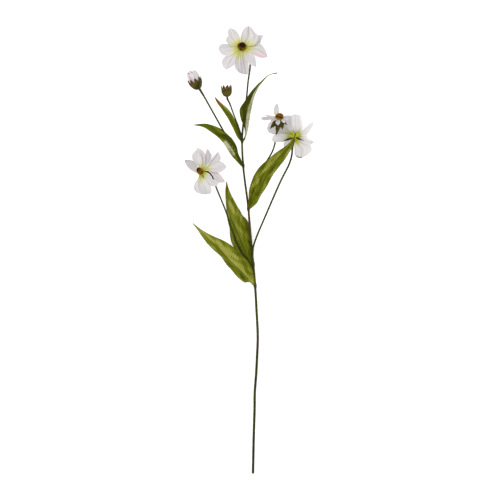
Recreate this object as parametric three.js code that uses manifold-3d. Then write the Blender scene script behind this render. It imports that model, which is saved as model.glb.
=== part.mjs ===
// A cut cosmos spray that lies on a flat surface: one tall stem with side stalks, six lance-shaped
// leaves, four blooms and two buds. Lengths are millimetres. +Y runs from the cut end of the stem
// to the top bloom, +Z points up from the surface, and the surface is at z = 0.

import * as THREE from "three";
import { mergeVertices } from "three/addons/utils/BufferGeometryUtils.js";
import Module from "manifold-3d";

const wasm = await Module();
wasm.setup();

const vec = (x, y, z) => new THREE.Vector3(x, y, z);

// Driving sizes that the pieces share
const GAP = 0.3;
const PETAL_THICKNESS = 0.7;
const LEAF_THICKNESS = 0.8;
const PETIOLE_THICKNESS = 2.2;
const BRACT_THICKNESS = 0.8;
const HUB_HALF_HEIGHT = 1.6;
const CALYX_HEIGHT = 6.6;
const STALK_END = HUB_HALF_HEIGHT + GAP + CALYX_HEIGHT + GAP;
const PETAL_ROOT_RADIUS = 2.4;
const FLOOR_SIZE = 1200;
const MERGE_DISTANCE = 1e-5;

// How finely each kind of piece is divided
const PETAL_ROWS = 5;
const PETAL_COLUMNS = 4;
const SMALL_PETAL_ROWS = 4;
const SMALL_PETAL_COLUMNS = 2;
const BRACT_ROWS = 3;
const BRACT_COLUMNS = 1;
const LEAF_ROWS = 12;
const LEAF_COLUMNS = 4;

// The main stem, from the cut end to the back of the top bloom
const STEM = {
  points: [
    vec(5.8, -351.2, 1.35), vec(6.9, -296.6, 1.35), vec(8.3, -248.5, 1.35), vec(8.6, -224.5, 1.8),
    vec(10.8, -194.4, 2.6), vec(12.2, -167.2, 3.5), vec(13.3, -136, 4.6), vec(11.6, -98.6, 6.3),
    vec(9.4, -60.3, 8.3), vec(6.6, -26, 10.2), vec(4.4, -3.1, 11.8), vec(0.8, 37.8, 14.5),
    vec(-1.6, 67.8, 16.5), vec(-7.1, 109.9, 18.8), vec(-9.6, 133, 20), vec(-11.3, 169.4, 21.6),
    vec(-9.6, 196.7, 21.5), vec(-4.4, 238.5, 21), vec(-1.7, 265.8, 20.4), vec(1.4, 290, 18.6),
    vec(0.4, 302, 16.6), vec(-4, 308.6, 15.9),
  ],
  footRadius: 1.75,
  topRadius: 1.15,
  taperStart: 0.4,
  sides: 8,
  steps: 44,
};

// The side stalks, each from inside the main stem to its bud or bloom
const STALK_RADII = { left: 1.2, back: 1.5, young: 1.2, white_bud: 1.3, green_bud: 1.08 };
const STALKS = {
  left: [
    vec(6.2, -30, 10), vec(-0.5, -17.4, 12.3), vec(-13, -1.9, 14.6), vec(-25, 25.7, 17.5),
    vec(-37.1, 61.9, 19), vec(-52.4, 100, 18), vec(-57, 113.4, 16.2), vec(-61.2, 120.2, 15.6),
    vec(-66.5, 123.6, 15.4),
  ],
  back: [
    vec(5.2, -12, 11), vec(6.1, 4.2, 13), vec(11, 19.8, 15), vec(26.7, 57, 19.5),
    vec(49.9, 109.9, 25.5), vec(63.2, 136.7, 29.5), vec(66.8, 150, 33.5), vec(67.6, 161, 37.2),
  ],
  young: [
    vec(-1.2, 62, 16), vec(3.4, 84, 17.5), vec(13.3, 113, 19.5), vec(27.2, 139.4, 21),
    vec(36.4, 155.4, 23), vec(40.8, 170, 25.5), vec(42.2, 181, 29.5), vec(44.5, 191.5, 36.5),
  ],
  white_bud: [
    vec(-9.4, 130, 19.8), vec(-18, 148, 19.6), vec(-40.2, 186.4, 19.2), vec(-57.1, 214.9, 19.6),
    vec(-69.8, 239.6, 19),
  ],
  green_bud: [
    vec(-11.2, 168, 21.5), vec(-14.9, 187.6, 24.5), vec(-23.2, 209.8, 27.2), vec(-30.6, 230, 27.6),
  ],
};
const STALK_SIDES = 6;
const STALK_STEP_LENGTH = 13;
const STALK_LEAD = 2.5;

// A short sheath stands in the fork below the green bud
const SHEATH = {
  centre: vec(-13, 180.5, 24),
  axis: vec(-0.2, 0.95, 0.2).normalize(),
  radius: 1.8,
  halfLength: 10.5,
};

// Swellings where leaves and stalks leave the stem
const KNOTS = [
  vec(8.9, -55, 8.5),
  vec(6.2, -22, 10.4),
  vec(-1.5, 66, 16.4),
  vec(-9.6, 133, 20),
  vec(-11.3, 171, 21.7),
];
const KNOT_RADIUS = 2.1;
const KNOT_HALF_LENGTH = 3.6;
const SPINDLE_SECTORS = 7;
const SPINDLE_RINGS = 5;

// The leaves: a middle line from inside the stem to the tip, how wide the blade is to its left and to
// its right at even shares of the length, how far it folds along its midrib (degrees) and how it
// rolls about it (degrees, root to tip). One leaf's right side is turned over so that its back shows.
const LEAVES = {
  leaf_lower_left: {
    points: [
      vec(8.6, -56, 8.7), vec(1, -48, 12.6), vec(-11.3, -35, 17.5), vec(-31, -16, 19),
      vec(-48.2, 3.3, 17.4), vec(-61.9, 15.8, 14), vec(-75.6, 29.3, 9.6), vec(-89.3, 43, 4.5),
    ],
    left: [1.3, 5, 9.9, 8.6, 7.8, 6.4, 7.6, 6.8, 4.9, 2.2, 0.4],
    right: [1.3, 10.5, 18, 20, 19.3, 16.4, 12, 7.6, 3.8, 1.4, 0.4],
    fold: 10,
    roll: [4, -10],
  },
  leaf_middle_left: {
    points: [
      vec(6, -23, 10.4), vec(-0.5, -15, 9.4), vec(-10.5, 6.8, 8.4), vec(-17.6, 24.5, 8.8),
      vec(-22.9, 36, 9.6), vec(-28.2, 47.5, 10.4), vec(-32.6, 67, 11.4), vec(-35.3, 86.5, 12.6),
      vec(-35.6, 108, 14),
    ],
    left: [1.3, 7, 11, 14, 12.5, 7.5, 5.2, 3.7, 2.5, 1.9, 0.4],
    right: [1.3, 4.5, 7, 10.5, 14.5, 20, 17.5, 12.8, 9.4, 3.2, 0.4],
    fold: 8,
    roll: [0, -10],
  },
  leaf_right: {
    points: [
      vec(-1.3, 64, 16.4), vec(6.5, 79.2, 21), vec(12.5, 90.3, 25), vec(21, 104, 29.5),
      vec(29.6, 121.5, 34), vec(39.7, 136.6, 39), vec(55.8, 155.7, 44.5), vec(66, 168.5, 46),
      vec(73.6, 184.6, 45),
    ],
    left: [1.2, 7.5, 14, 17.2, 15.8, 13, 11, 9.4, 5, 2.2, 0.4],
    right: [1.2, 4.8, 5.5, 5.6, 6.5, 8, 8, 7.2, 5.6, 3.4, 0.4],
    fold: 12,
    roll: [-4, 8],
  },
  leaf_upper_left: {
    points: [
      vec(-9.6, 131, 20), vec(-14.8, 138.5, 23), vec(-20, 147.5, 25.5), vec(-28.4, 161.6, 28),
      vec(-40.4, 176.8, 28), vec(-56, 188, 25.5), vec(-71, 195.2, 20), vec(-88, 197, 13.5),
    ],
    left: [1.2, 3.4, 5.3, 6.5, 6, 5.8, 5, 4.1, 2.9, 1.5, 0.4],
    right: [1.2, 3.8, 4.1, 7.6, 9, 8.1, 7.7, 6.2, 3.7, 1.7, 0.4],
    fold: 14,
    roll: [10, -12],
  },
  leaf_top_left: {
    points: [
      vec(-11.2, 170, 21.6), vec(-16.6, 181.2, 20.6), vec(-22.5, 195, 20.2), vec(-29.8, 209.4, 20),
      vec(-39, 222.6, 18.8), vec(-47.5, 231.5, 17.4), vec(-53.8, 240.4, 16),
    ],
    left: [0.9, 3.2, 3.9, 4, 3.9, 3.7, 3.5, 3, 2.4, 1.5, 0.4],
    right: [0.9, 3.2, 3.9, 4.1, 4, 3.8, 3.4, 2.9, 2.2, 1.4, 0.4],
    fold: 14,
    roll: [-6, 6],
  },
  leaf_top_right: {
    points: [
      vec(-11.2, 170, 21.6), vec(-5.6, 178.2, 24.4), vec(-2.8, 187.4, 26.8), vec(0, 203.2, 29.6),
      vec(2.6, 218, 31), vec(8.2, 241.5, 31.4), vec(17.8, 260.7, 29.4), vec(30.1, 274.4, 25),
      vec(44.2, 278.6, 20),
    ],
    left: [1, 2.2, 7, 14, 17.5, 13.2, 8, 3.8, 1.4, 0.7, 0.5],
    right: [1, 1.5, 3.8, 6.8, 6.2, 4.7, 3.4, 1.6, 0.7, 0.5, 0.5],
    fold: 10,
    turnedOver: 152,
    roll: [0, 0],
  },
};
const LEAF_WAVES = 2.5;
const LEAF_WAVE_HEIGHT = 0.08;
const LEAF_WAVE_SHIFT = 2;
const LEAF_THICK_SHARE = 0.06;
const TURN_START = [0.02, 0.12];
const TURN_END = [0.68, 0.86];
const MIDRIB_RADIUS = 0.6;
const MIDRIB_SIDES = 6;

// A petal is given by its margins seen from above, each from the hub outward, by its tip and by how
// far it lifts over its neighbours, all measured from the middle of the hub.
// A bract is [reach x, reach y, reach z, half width].
const BLOOMS = {
  bloom_top: {
    centre: vec(-11.3, 318.6, 30.4),
    axis: vec(-0.1, 0.41, 0.907).normalize(),
    hubRadius: 4.6,
    eyeRadius: 7,
    eyeHeight: 4.2,
    petals: [
      {
        left: [[-1.6, 7], [-2, 13], [-1.2, 20], [1.2, 26.5], [5.5, 31]],
        tip: [10, 33.3, -27],
        right: [[8, 1], [16, 1.5], [22, 5], [26, 11.5], [26.6, 17], [21, 22.5], [15, 29]],
        lift: 1.5,
      },
      {
        left: [[4, 5], [12, 11], [20, 17], [26, 19.3]],
        tip: [32.5, 18.3, -21],
        right: [[7, 0.5], [16, 0.5], [25, 2.5], [29.5, 9], [30.2, 14]],
        lift: -1,
      },
      {
        left: [[7, 2.5], [18, 5], [27, 6.5], [32, 2.5], [36.5, -4], [39, -10]],
        tip: [40.3, -15.5, -4],
        right: [[6, -3], [11, -7], [17, -11], [24, -14.5], [32, -16.8]],
        lift: 0,
      },
      {
        left: [[5, -5.5], [9.5, -10.5], [15.5, -14], [19.8, -19], [21.5, -25]],
        tip: [22.3, -31.5, 9],
        right: [[3, -7], [4, -13], [6.5, -20], [10.5, -26], [16.5, -29.5]],
        lift: 1,
      },
      {
        left: [[2.5, -7], [4.5, -14], [8.5, -24], [11, -34], [9.6, -42.5]],
        tip: [2, -42.2, 6],
        right: [[-2, -7], [-6.5, -13], [-9.5, -20], [-11.5, -27], [-9.5, -35], [-4, -40.5]],
        lift: -1.5,
      },
      {
        left: [[-5, -7], [-8, -14], [-10.5, -21], [-13, -28], [-18.5, -32.2]],
        tip: [-25, -35.7, 2],
        right: [[-9, -5], [-18, -11], [-26.5, -14.5], [-31, -21], [-30.5, -29]],
        lift: 0.5,
      },
      {
        left: [[-8, -4], [-16, -8.5], [-24, -12.5], [-30, -12], [-35, -7]],
        tip: [-37.7, -1, -21],
        right: [[-8, 3], [-15, 3], [-22, 5], [-28.5, 6.2], [-34.5, 4]],
        lift: -1,
      },
      {
        left: [[-8, 1.5], [-16, 1.5], [-21.5, 5.5], [-25, 11], [-24.5, 14.8], [-21.5, 17.5], [-21.8, 24]],
        tip: [-20, 29, -32.2],
        right: [[-2.5, 8], [-3.5, 15], [-6, 21], [-10, 26], [-15.5, 29.3]],
        lift: 1,
      },
    ],
    bractCount: 8,
    bractLength: 11,
    bractWidth: 2,
    bractReflex: 50,
  },
  bloom_left: {
    centre: vec(-74.6, 121.4, 26),
    axis: vec(-0.407, 0.235, 0.883).normalize(),
    hubRadius: 4.2,
    eyeRadius: 4.6,
    eyeHeight: 6.6,
    petals: [
      {
        left: [[-5, -1], [-9.5, 0.8], [-15, 3.5], [-20.5, 8], [-25, 13.5]],
        tip: [-26.8, 18.3, -26.3],
        right: [[-4, 7], [-9, 14], [-13.5, 18.3], [-19, 19.8], [-24.3, 20]],
        lift: -2,
      },
      {
        left: [[-3.5, 8.5], [-9, 14], [-14, 19.5], [-15.2, 25], [-13.5, 30]],
        tip: [-9, 33, -19],
        right: [[1, 6], [1.5, 14], [1, 22], [-1.5, 29], [-5, 32.3]],
        lift: 2,
      },
      {
        left: [[-1, 7], [-4, 16], [-7, 25], [-8.3, 33]],
        tip: [-6.5, 38.9, -21],
        right: [[2.5, 6], [5, 14], [5.8, 22], [5, 29.5], [0.5, 35]],
        lift: 0,
      },
      {
        left: [[4.2, 7], [6, 14], [6.2, 24], [6.6, 32]],
        tip: [8.5, 36.9, -15],
        right: [[6, 6.5], [9.5, 14], [14, 21], [15.6, 27], [12.5, 33]],
        lift: -1.5,
      },
      {
        left: [[6, 6.5], [11, 15], [15, 22], [18.5, 25.5], [22, 28.5]],
        tip: [25.3, 32, -4],
        right: [[8, 5.5], [15, 12.5], [22, 16], [28.5, 19.5], [29.8, 25]],
        lift: 0,
      },
      {
        left: [[7, 5.8], [14, 12.5], [21, 16], [28, 18.3], [34.5, 15.5]],
        tip: [38.8, 9.5, 5],
        right: [[7.5, 4.4], [14, 2.4], [21, 0.6], [29, 1.2], [35.5, 5]],
        lift: 1.5,
      },
      {
        left: [[8, 6], [16, 5], [22, 2], [27, -1], [31.5, -6], [35.3, -11.5]],
        tip: [36.5, -14.5, 6],
        right: [[8, 5.2], [14.5, 2.8], [17.5, -3], [20, -11], [24, -15], [30, -15.3]],
        lift: -1.5,
      },
      {
        left: [[3.5, 0], [8, -2], [13, -5.8], [19, -10], [25, -14]],
        tip: [26, -17.5, 16],
        right: [[2, -3], [4, -9], [8, -15], [14, -20.5], [21, -21.3]],
        lift: 0,
      },
      {
        left: [[0.5, -4], [4, -10], [9, -17], [14, -21], [15.5, -27], [14.8, -32]],
        tip: [6, -34, 9],
        right: [[-4, -4], [-6, -9], [-10, -14.5], [-12.3, -21], [-11, -27.5], [-5, -32]],
        lift: 1,
      },
    ],
    bractCount: 8,
    bractLength: 10,
    bractWidth: 2,
    bractReflex: 48,
  },
  bloom_young: {
    centre: vec(47.6, 207, 50),
    axis: vec(-0.1, 0.75, 0.654).normalize(),
    hubRadius: 3.8,
    eyeRadius: 6,
    eyeHeight: 5.4,
    small: true,
    petals: [
      {
        left: [[-7, 4], [-9, 8], [-9.2, 13], [-7.8, 17.5]],
        tip: [-4.8, 22.3, -24],
        right: [[-1.5, 6], [-0.8, 11], [-1.3, 16], [-3, 20]],
        lift: 0,
      },
      {
        left: [[-7, -1.6], [-14, -2.6], [-20, -3.6], [-25, -4]],
        tip: [-30, -0.8, 2],
        right: [[-7, 1], [-14, 1.6], [-20, 2], [-26, 1.7]],
        lift: 1,
      },
      {
        left: [[-8, 0], [-14, 1], [-19, 2]],
        tip: [-23.6, 5, -6],
        right: [[-6, 3], [-11, 3.6], [-17, 4.8]],
        lift: -1,
      },
      {
        left: [[-4, -2.6], [-8, -4], [-12, -5]],
        tip: [-15, -4.6, 3],
        right: [[-5, -1], [-9, -2], [-13, -2.8]],
        lift: 0,
      },
      {
        left: [[0.5, -2.5], [0.8, -7]],
        tip: [-2.5, -12, 10],
        right: [[-4, -2.5], [-6.5, -7.5]],
        lift: 0,
      },
      {
        left: [[4.5, -1], [8, -4.5]],
        tip: [8.3, -8.3, 9],
        right: [[2, -3.5], [4.2, -6.5]],
        lift: 1,
      },
      {
        left: [[5, 1.5], [10, 1.5]],
        tip: [14.5, -2, 3],
        right: [[5, -1.5], [9.5, -3.5]],
        lift: 0,
      },
    ],
    bracts: [
      [-15.3, -15.2, 0, 3.6], [-5.3, -25.5, -5, 3.3], [4.5, -16.5, -2, 3.2], [11.8, -9.6, -2, 2.6],
      [-12, 4, -11, 2.8], [-1, 9, -14, 2.8],
    ],
  },
  bloom_back: {
    centre: vec(71, 178.5, 24.5),
    axis: vec(0.1, 0.55, -0.829).normalize(),
    hubRadius: 4.6,
    eyeRadius: 6.2,
    eyeHeight: 4,
    petals: [
      {
        left: [[-5, -1], [-14, 1], [-24, 3.5], [-33, 4], [-40, 6.3]],
        tip: [-43.3, 12.5, -5],
        right: [[-5, 5], [-14, 15], [-24, 22], [-34, 24.5], [-41, 20.5]],
        lift: -1.5,
      },
      {
        left: [[-4, -3], [-11, -6], [-18, -8.2], [-28, -8.8], [-34, -8.2]],
        tip: [-35.8, -5.5, 12],
        right: [[-5, 3], [-14, 4.2], [-24, 4], [-32, 2.5], [-34.8, -1.5]],
        lift: 0.5,
      },
      {
        left: [[-5, 4], [-12, 12], [-16, 20], [-17.3, 27], [-15.5, 32]],
        tip: [-10, 33.3, 13],
        right: [[-1, 6], [-2, 16], [-3, 25], [-4.5, 32]],
        lift: 0,
      },
      {
        left: [[-3, 5], [-5, 14], [-5.8, 24], [-5, 31], [-3, 34.3]],
        tip: [2, 34.5, 20],
        right: [[6, 4], [12.5, 10], [13, 17], [11.5, 25.5], [8.3, 33.3]],
        lift: 1.5,
      },
      {
        left: [[4, 4], [12, 9.5], [18, 14.5], [23.5, 19]],
        tip: [28.6, 21.5, 13],
        right: [[6, 1.5], [14, 3], [20, 4], [24.5, 9.5], [28.6, 16]],
        lift: -1,
      },
      {
        left: [[4, 2], [12, 4], [19, 3], [21, -3], [25.5, -5.7]],
        tip: [30, -10, -2],
        right: [[4, -4], [10, -9], [16, -12.5], [23, -13.8]],
        lift: 1,
      },
      {
        left: [[6, -4], [16, -8.5], [24.5, -13.5], [27, -19], [24.5, -25.5], [18, -29.7]],
        tip: [11, -33.3, -25.2],
        right: [[-1, -6], [-0.3, -12], [0, -20], [0.7, -28], [5, -32.2]],
        lift: -0.5,
      },
      {
        left: [[-2, -5], [-7, -12], [-12, -16.8]],
        tip: [-16.7, -16, -14],
        right: [[-5, -3], [-11, -6], [-16.8, -9.5]],
        lift: -1.5,
      },
    ],
    bracts: [
      [-19.5, -6.5, 6, 2.4], [15.5, -5.5, 4, 1.8], [9.5, -1.5, 6, 1.6], [-10, 3.5, 7, 1.8],
      [9, 5.5, 7, 1.8], [5, -10, 1, 1.8], [-8, -11, 1, 1.8], [-3.5, 10, 10, 1.8], [5, 9.5, 10, 1.8],
    ],
  },
};
const PETAL_TIP_SHARE = 0.975;
const PETAL_CUP = 0.12;
const PETAL_ARCH = 0.08;
const PETAL_LIFT_START = 0.2;
const PETAL_LIFT_END = 0.6;
const BRACT_BEND_SHARE = 0.45;
const BRACT_ROOT_WIDTH = 0.6;
const BRACT_WIDEST = 0.45;
const BRACT_END_WIDTH = 0.12;
const BRACT_CUP = 0.2;
const BRACT_ROOT_RADIUS = 1.6;
const BRACT_ROOT_DEPTH = 1.8;
const HUB_SIDES = 14;
const EYE_SECTORS = 20;
const EYE_RINGS = 5;
const EYE_KNOB = 0.09;
const EYE_SKIRT = 0.2;
const CALYX_SIDES = 10;
const CALYX_FOOT_RADIUS = 1.5;
const CALYX_WAIST_SHARE = 0.55;
const CALYX_RIM_SHARE = 0.95;

// The buds, each standing on the end of its stalk: a toothed green cup round a crown of closed
// petals. The radius is that of the cup's waist, the mouth is a share of it.
const BUDS = {
  bud_white: {
    base: vec(-79.2, 252.4, 19.4),
    axis: vec(-0.4, 0.9, 0.14).normalize(),
    radius: 10.6,
    mouth: 0.88,
    cup: { height: 19, teeth: 8, toothDepth: 0.42, toothPower: 1 },
    crown: { height: 30.5, teeth: 5, toothDepth: 0.16, toothPower: 2.4 },
  },
  bud_green: {
    base: vec(-34.6, 240.4, 28.2),
    axis: vec(-0.08, 0.98, 0.12).normalize(),
    radius: 8.2,
    mouth: 0.96,
    cup: { height: 17.6, teeth: 8, toothDepth: 0.26, toothPower: 1 },
    crown: { height: 15, teeth: 4, toothDepth: 0.12, toothPower: 2.4 },
  },
};
const BUD_WAIST = 0.52;
const CUP_WALL = 0.9;
const CUP_FLOOR = 3;
const CROWN_WALL = 2.2;
const CROWN_FLOOR_SHARE = 0.62;
const CUP_SUBDIVISION = 4;
const CUP_RINGS = 5;
const CUP_FOOT_SHARE = 0.04;
const CUP_LIP_SHARE = 0.94;

// Surface colours and roughness
const finish = (color, roughness) => new THREE.MeshStandardMaterial({ color, roughness, metalness: 0 });
const MATERIALS = {
  stem: finish(0x4a5030, 0.6),
  leaf: finish(0x76851f, 0.55),
  petal: finish(0xefeaf0, 0.7),
  eye: finish(0x7a4f14, 0.85),
  calyx: finish(0x4c5118, 0.6),
};

// A closed mesh turned into a solid, and back
function toSolid(geometry) {
  geometry.deleteAttribute("normal");
  geometry.deleteAttribute("uv");
  const merged = mergeVertices(geometry, MERGE_DISTANCE);
  const mesh = new wasm.Mesh({
    numProp: 3,
    vertProperties: new Float32Array(merged.attributes.position.array),
    triVerts: new Uint32Array(merged.index.array),
  });
  return new wasm.Manifold(mesh);
}

function toGeometry(solid) {
  const mesh = solid.getMesh();
  const geometry = new THREE.BufferGeometry();
  geometry.setAttribute("position", new THREE.BufferAttribute(new Float32Array(mesh.vertProperties), 3));
  geometry.setIndex(new THREE.BufferAttribute(new Uint32Array(mesh.triVerts), 1));
  geometry.computeVertexNormals();
  return geometry;
}

const joined = (solids) => solids.reduce((whole, solid) => whole.add(solid));

// A cut can leave scraps, so only the largest body is kept
function largestBody(solid) {
  const bodies = solid.decompose();
  return bodies.reduce((best, body) => (body.volume() > best.volume() ? body : best));
}

function meshFrom(points, faces) {
  const geometry = new THREE.BufferGeometry();
  const numbers = points.flatMap((point) => [point.x, point.y, point.z]);
  geometry.setAttribute("position", new THREE.Float32BufferAttribute(numbers, 3));
  geometry.setIndex(faces.flat());
  return geometry;
}

// A round rod along a smooth line, its radius running from one end's to the other's past taperStart
function rod(line, startRadius, endRadius, sides, steps, taperStart = 0) {
  const curve = new THREE.CatmullRomCurve3(line, false, "centripetal");
  const frames = curve.computeFrenetFrames(steps, false);
  const points = [];
  const faces = [];
  for (let i = 0; i <= steps; i += 1) {
    const taper = Math.max(0, (i / steps - taperStart) / (1 - taperStart));
    const radius = THREE.MathUtils.lerp(startRadius, endRadius, taper);
    const centre = curve.getPointAt(i / steps);
    for (let j = 0; j < sides; j += 1) {
      const angle = (2 * Math.PI * j) / sides;
      const point = centre.clone();
      point.addScaledVector(frames.normals[i], radius * Math.cos(angle));
      point.addScaledVector(frames.binormals[i], radius * Math.sin(angle));
      points.push(point);
    }
  }
  for (let i = 0; i < steps; i += 1) {
    for (let j = 0; j < sides; j += 1) {
      const a = i * sides + j;
      const b = i * sides + ((j + 1) % sides);
      faces.push([a, b, b + sides], [a, b + sides, a + sides]);
    }
  }
  const lastRing = steps * sides;
  for (let j = 1; j < sides - 1; j += 1) {
    faces.push([0, j + 1, j], [lastRing, lastRing + j, lastRing + j + 1]);
  }
  return toSolid(meshFrom(points, faces));
}

// A thin blade about a middle surface(u, v), u from 0 at the root to 1 at the tip and v from -1
// to 1 across. Both faces are split into triangles alike.
function blade(surface, rowCount, columnCount, thicknessAt) {
  const width = columnCount + 1;
  const middle = [];
  for (let i = 0; i <= rowCount; i += 1) {
    for (let j = 0; j <= columnCount; j += 1) {
      middle.push(surface(i / rowCount, (2 * j) / columnCount - 1));
    }
  }
  const at = (i, j) => {
    const row = THREE.MathUtils.clamp(i, 0, rowCount);
    const column = THREE.MathUtils.clamp(j, 0, columnCount);
    return middle[row * width + column];
  };
  const top = [];
  const bottom = [];
  for (let i = 0; i <= rowCount; i += 1) {
    for (let j = 0; j <= columnCount; j += 1) {
      const along = at(i + 1, j).clone().sub(at(i - 1, j));
      const across = at(i, j + 1).clone().sub(at(i, j - 1));
      const half = across.cross(along).normalize().multiplyScalar(thicknessAt(i / rowCount) / 2);
      top.push(at(i, j).clone().add(half));
      bottom.push(at(i, j).clone().sub(half));
    }
  }
  const under = top.length;
  const faces = [];
  for (let i = 0; i < rowCount; i += 1) {
    for (let j = 0; j < columnCount; j += 1) {
      const a = i * width + j;
      const [b, c, d] = [a + 1, a + width + 1, a + width];
      faces.push([a, b, c], [a, c, d]);
      faces.push([under + a, under + c, under + b], [under + a, under + d, under + c]);
    }
    const left = i * width;
    const [leftNext, right, rightNext] = [left + width, left + columnCount, left + columnCount + width];
    faces.push([left, leftNext, under + leftNext], [left, under + leftNext, under + left]);
    faces.push([right, under + rightNext, rightNext], [right, under + right, under + rightNext]);
  }
  for (let j = 0; j < columnCount; j += 1) {
    const tip = rowCount * width + j;
    faces.push([j, under + j, under + j + 1], [j, under + j + 1, j + 1]);
    faces.push([tip, under + tip + 1, under + tip], [tip, tip + 1, under + tip + 1]);
  }
  return toSolid(meshFrom([...top, ...bottom], faces));
}

// How wide a bract is at u, as a share of its greatest width
function bractWidthAt(u) {
  if (u < BRACT_WIDEST) {
    return THREE.MathUtils.lerp(BRACT_ROOT_WIDTH, 1, Math.sin((Math.PI / 2) * (u / BRACT_WIDEST)));
  }
  const share = (u - BRACT_WIDEST) / (1 - BRACT_WIDEST);
  return THREE.MathUtils.lerp(BRACT_END_WIDTH, 1, Math.cos((Math.PI / 2) * share));
}

// The sideways and face directions of a blade that runs along tangent and faces facing
function bladeFrame(tangent, facing, rollAngle) {
  const side = tangent.clone().cross(facing).normalize();
  side.applyAxisAngle(tangent, rollAngle);
  const normal = side.clone().cross(tangent);
  return { side, normal };
}

function leafSurface(leaf) {
  const curve = new THREE.CatmullRomCurve3(leaf.points, false, "centripetal");
  const up = vec(0, 0, 1);
  const widthLine = (widths) => new THREE.SplineCurve(widths.map((width, i) => new THREE.Vector2(i, width)));
  const left = widthLine(leaf.left);
  const right = widthLine(leaf.right);
  const { degToRad, lerp, smoothstep } = THREE.MathUtils;
  return (u, v) => {
    const tangent = curve.getTangentAt(u);
    const roll = degToRad(lerp(leaf.roll[0], leaf.roll[1], u));
    const { side, normal } = bladeFrame(tangent, up, roll);
    const sense = v < 0 ? -1 : 1;
    const half = (v < 0 ? left : right).getPoint(u).y;
    const turn = v > 0 ? smoothstep(u, ...TURN_START) * (1 - smoothstep(u, ...TURN_END)) : 0;
    const slope = degToRad(lerp(leaf.fold, leaf.turnedOver ?? leaf.fold, turn));
    const shift = v > 0 ? LEAF_WAVE_SHIFT : 0;
    const wave = LEAF_WAVE_HEIGHT * v * v * Math.sin(2 * Math.PI * LEAF_WAVES * u + shift) * half;
    const reach = Math.abs(v) * half;
    const point = curve.getPointAt(u);
    point.addScaledVector(side, sense * (reach * Math.cos(slope) - wave * Math.sin(slope)));
    point.addScaledVector(normal, reach * Math.sin(slope) + wave * Math.cos(slope));
    return point;
  };
}

function leafSolid(leaf) {
  const thicknessAt = (u) => {
    return THREE.MathUtils.lerp(PETIOLE_THICKNESS, LEAF_THICKNESS, Math.min(1, u / LEAF_THICK_SHARE));
  };
  const surface = leafSurface(leaf);
  if (!leaf.turnedOver) {
    return blade(surface, LEAF_ROWS, LEAF_COLUMNS, thicknessAt);
  }
  const leftBlade = blade((u, v) => surface(u, (v - 1) / 2), LEAF_ROWS, LEAF_COLUMNS / 2, thicknessAt);
  const rightBlade = blade((u, v) => surface(u, (v + 1) / 2), LEAF_ROWS, LEAF_COLUMNS / 2, thicknessAt);
  const midrib = rod(leaf.points, MIDRIB_RADIUS, MIDRIB_RADIUS, MIDRIB_SIDES, LEAF_ROWS);
  return joined([leftBlade, rightBlade, midrib]);
}

// A bract that springs from root, ends at tip and faces axis
function bractSurface(root, tip, axis, halfWidth) {
  const control = root.clone().lerp(tip, BRACT_BEND_SHARE);
  const curve = new THREE.QuadraticBezierCurve3(root, control, tip);
  return (u, v) => {
    const { side, normal } = bladeFrame(curve.getTangent(u), axis, 0);
    const half = halfWidth * bractWidthAt(u);
    const point = curve.getPoint(u);
    point.addScaledVector(side, v * half);
    point.addScaledVector(normal, BRACT_CUP * half * v * v);
    return point;
  };
}

// One margin of a petal in plan, from the hub to the tip
function margin(points, tip) {
  const plan = points.map(([x, y]) => vec(x, y, 0));
  const root = plan[0].clone().setLength(PETAL_ROOT_RADIUS);
  return new THREE.CatmullRomCurve3([root, ...plan, vec(tip[0], tip[1], 0)], false, "centripetal");
}

// A petal leaves the hub square to the bloom's axis and bends to the height of its tip
function petalSolid(bloom, petal) {
  const { axis, centre } = bloom;
  const [tipX, tipY, tipZ] = petal.tip;
  const left = margin(petal.left, petal.tip);
  const right = margin(petal.right, petal.tip);
  const levelAt = (x, y) => -(axis.x * x + axis.y * y) / axis.z;
  const droop = tipZ - levelAt(tipX, tipY);
  const reach = Math.hypot(tipX, tipY);
  const facing = Math.sign(axis.z);
  const surface = (u, v) => {
    const start = left.getPointAt(u * PETAL_TIP_SHARE);
    const end = right.getPointAt(u * PETAL_TIP_SHARE);
    const point = start.clone().lerp(end, (v + 1) / 2);
    const half = start.distanceTo(end) / 2;
    const out = point.length() / reach;
    const arch = facing * PETAL_ARCH * reach * out * (1 - out);
    const lift = petal.lift * THREE.MathUtils.smoothstep(out, PETAL_LIFT_START, PETAL_LIFT_END);
    const cup = facing * PETAL_CUP * half * v * v;
    point.setZ(levelAt(point.x, point.y) + droop * out * out + arch + lift + cup);
    return point.add(centre);
  };
  const rows = bloom.small ? SMALL_PETAL_ROWS : PETAL_ROWS;
  const columns = bloom.small ? SMALL_PETAL_COLUMNS : PETAL_COLUMNS;
  return blade(surface, rows, columns, () => PETAL_THICKNESS);
}

// Turns a piece built round +Y at the origin to stand along axis with its origin at place
function placed(geometry, place, axis) {
  const turn = new THREE.Quaternion().setFromUnitVectors(vec(0, 1, 0), axis);
  return toSolid(geometry.applyQuaternion(turn).translate(place.x, place.y, place.z));
}

function spindle(place, axis, radius, halfLength) {
  const ball = new THREE.SphereGeometry(radius, SPINDLE_SECTORS, SPINDLE_RINGS);
  return placed(ball.scale(1, halfLength / radius, 1), place, axis);
}

// The petals spring from a hub and make room for the eye above it
function petalsSolid(bloom) {
  const { hubRadius } = bloom;
  const hub = new THREE.CylinderGeometry(hubRadius, hubRadius, 2 * HUB_HALF_HEIGHT, HUB_SIDES);
  const petals = bloom.petals.map((petal) => petalSolid(bloom, petal));
  const eyeRoom = eyeSolid(bloom, HUB_HALF_HEIGHT, 2 * GAP);
  return joined([placed(hub, bloom.centre, bloom.axis), ...petals]).subtract(eyeRoom);
}

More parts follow.
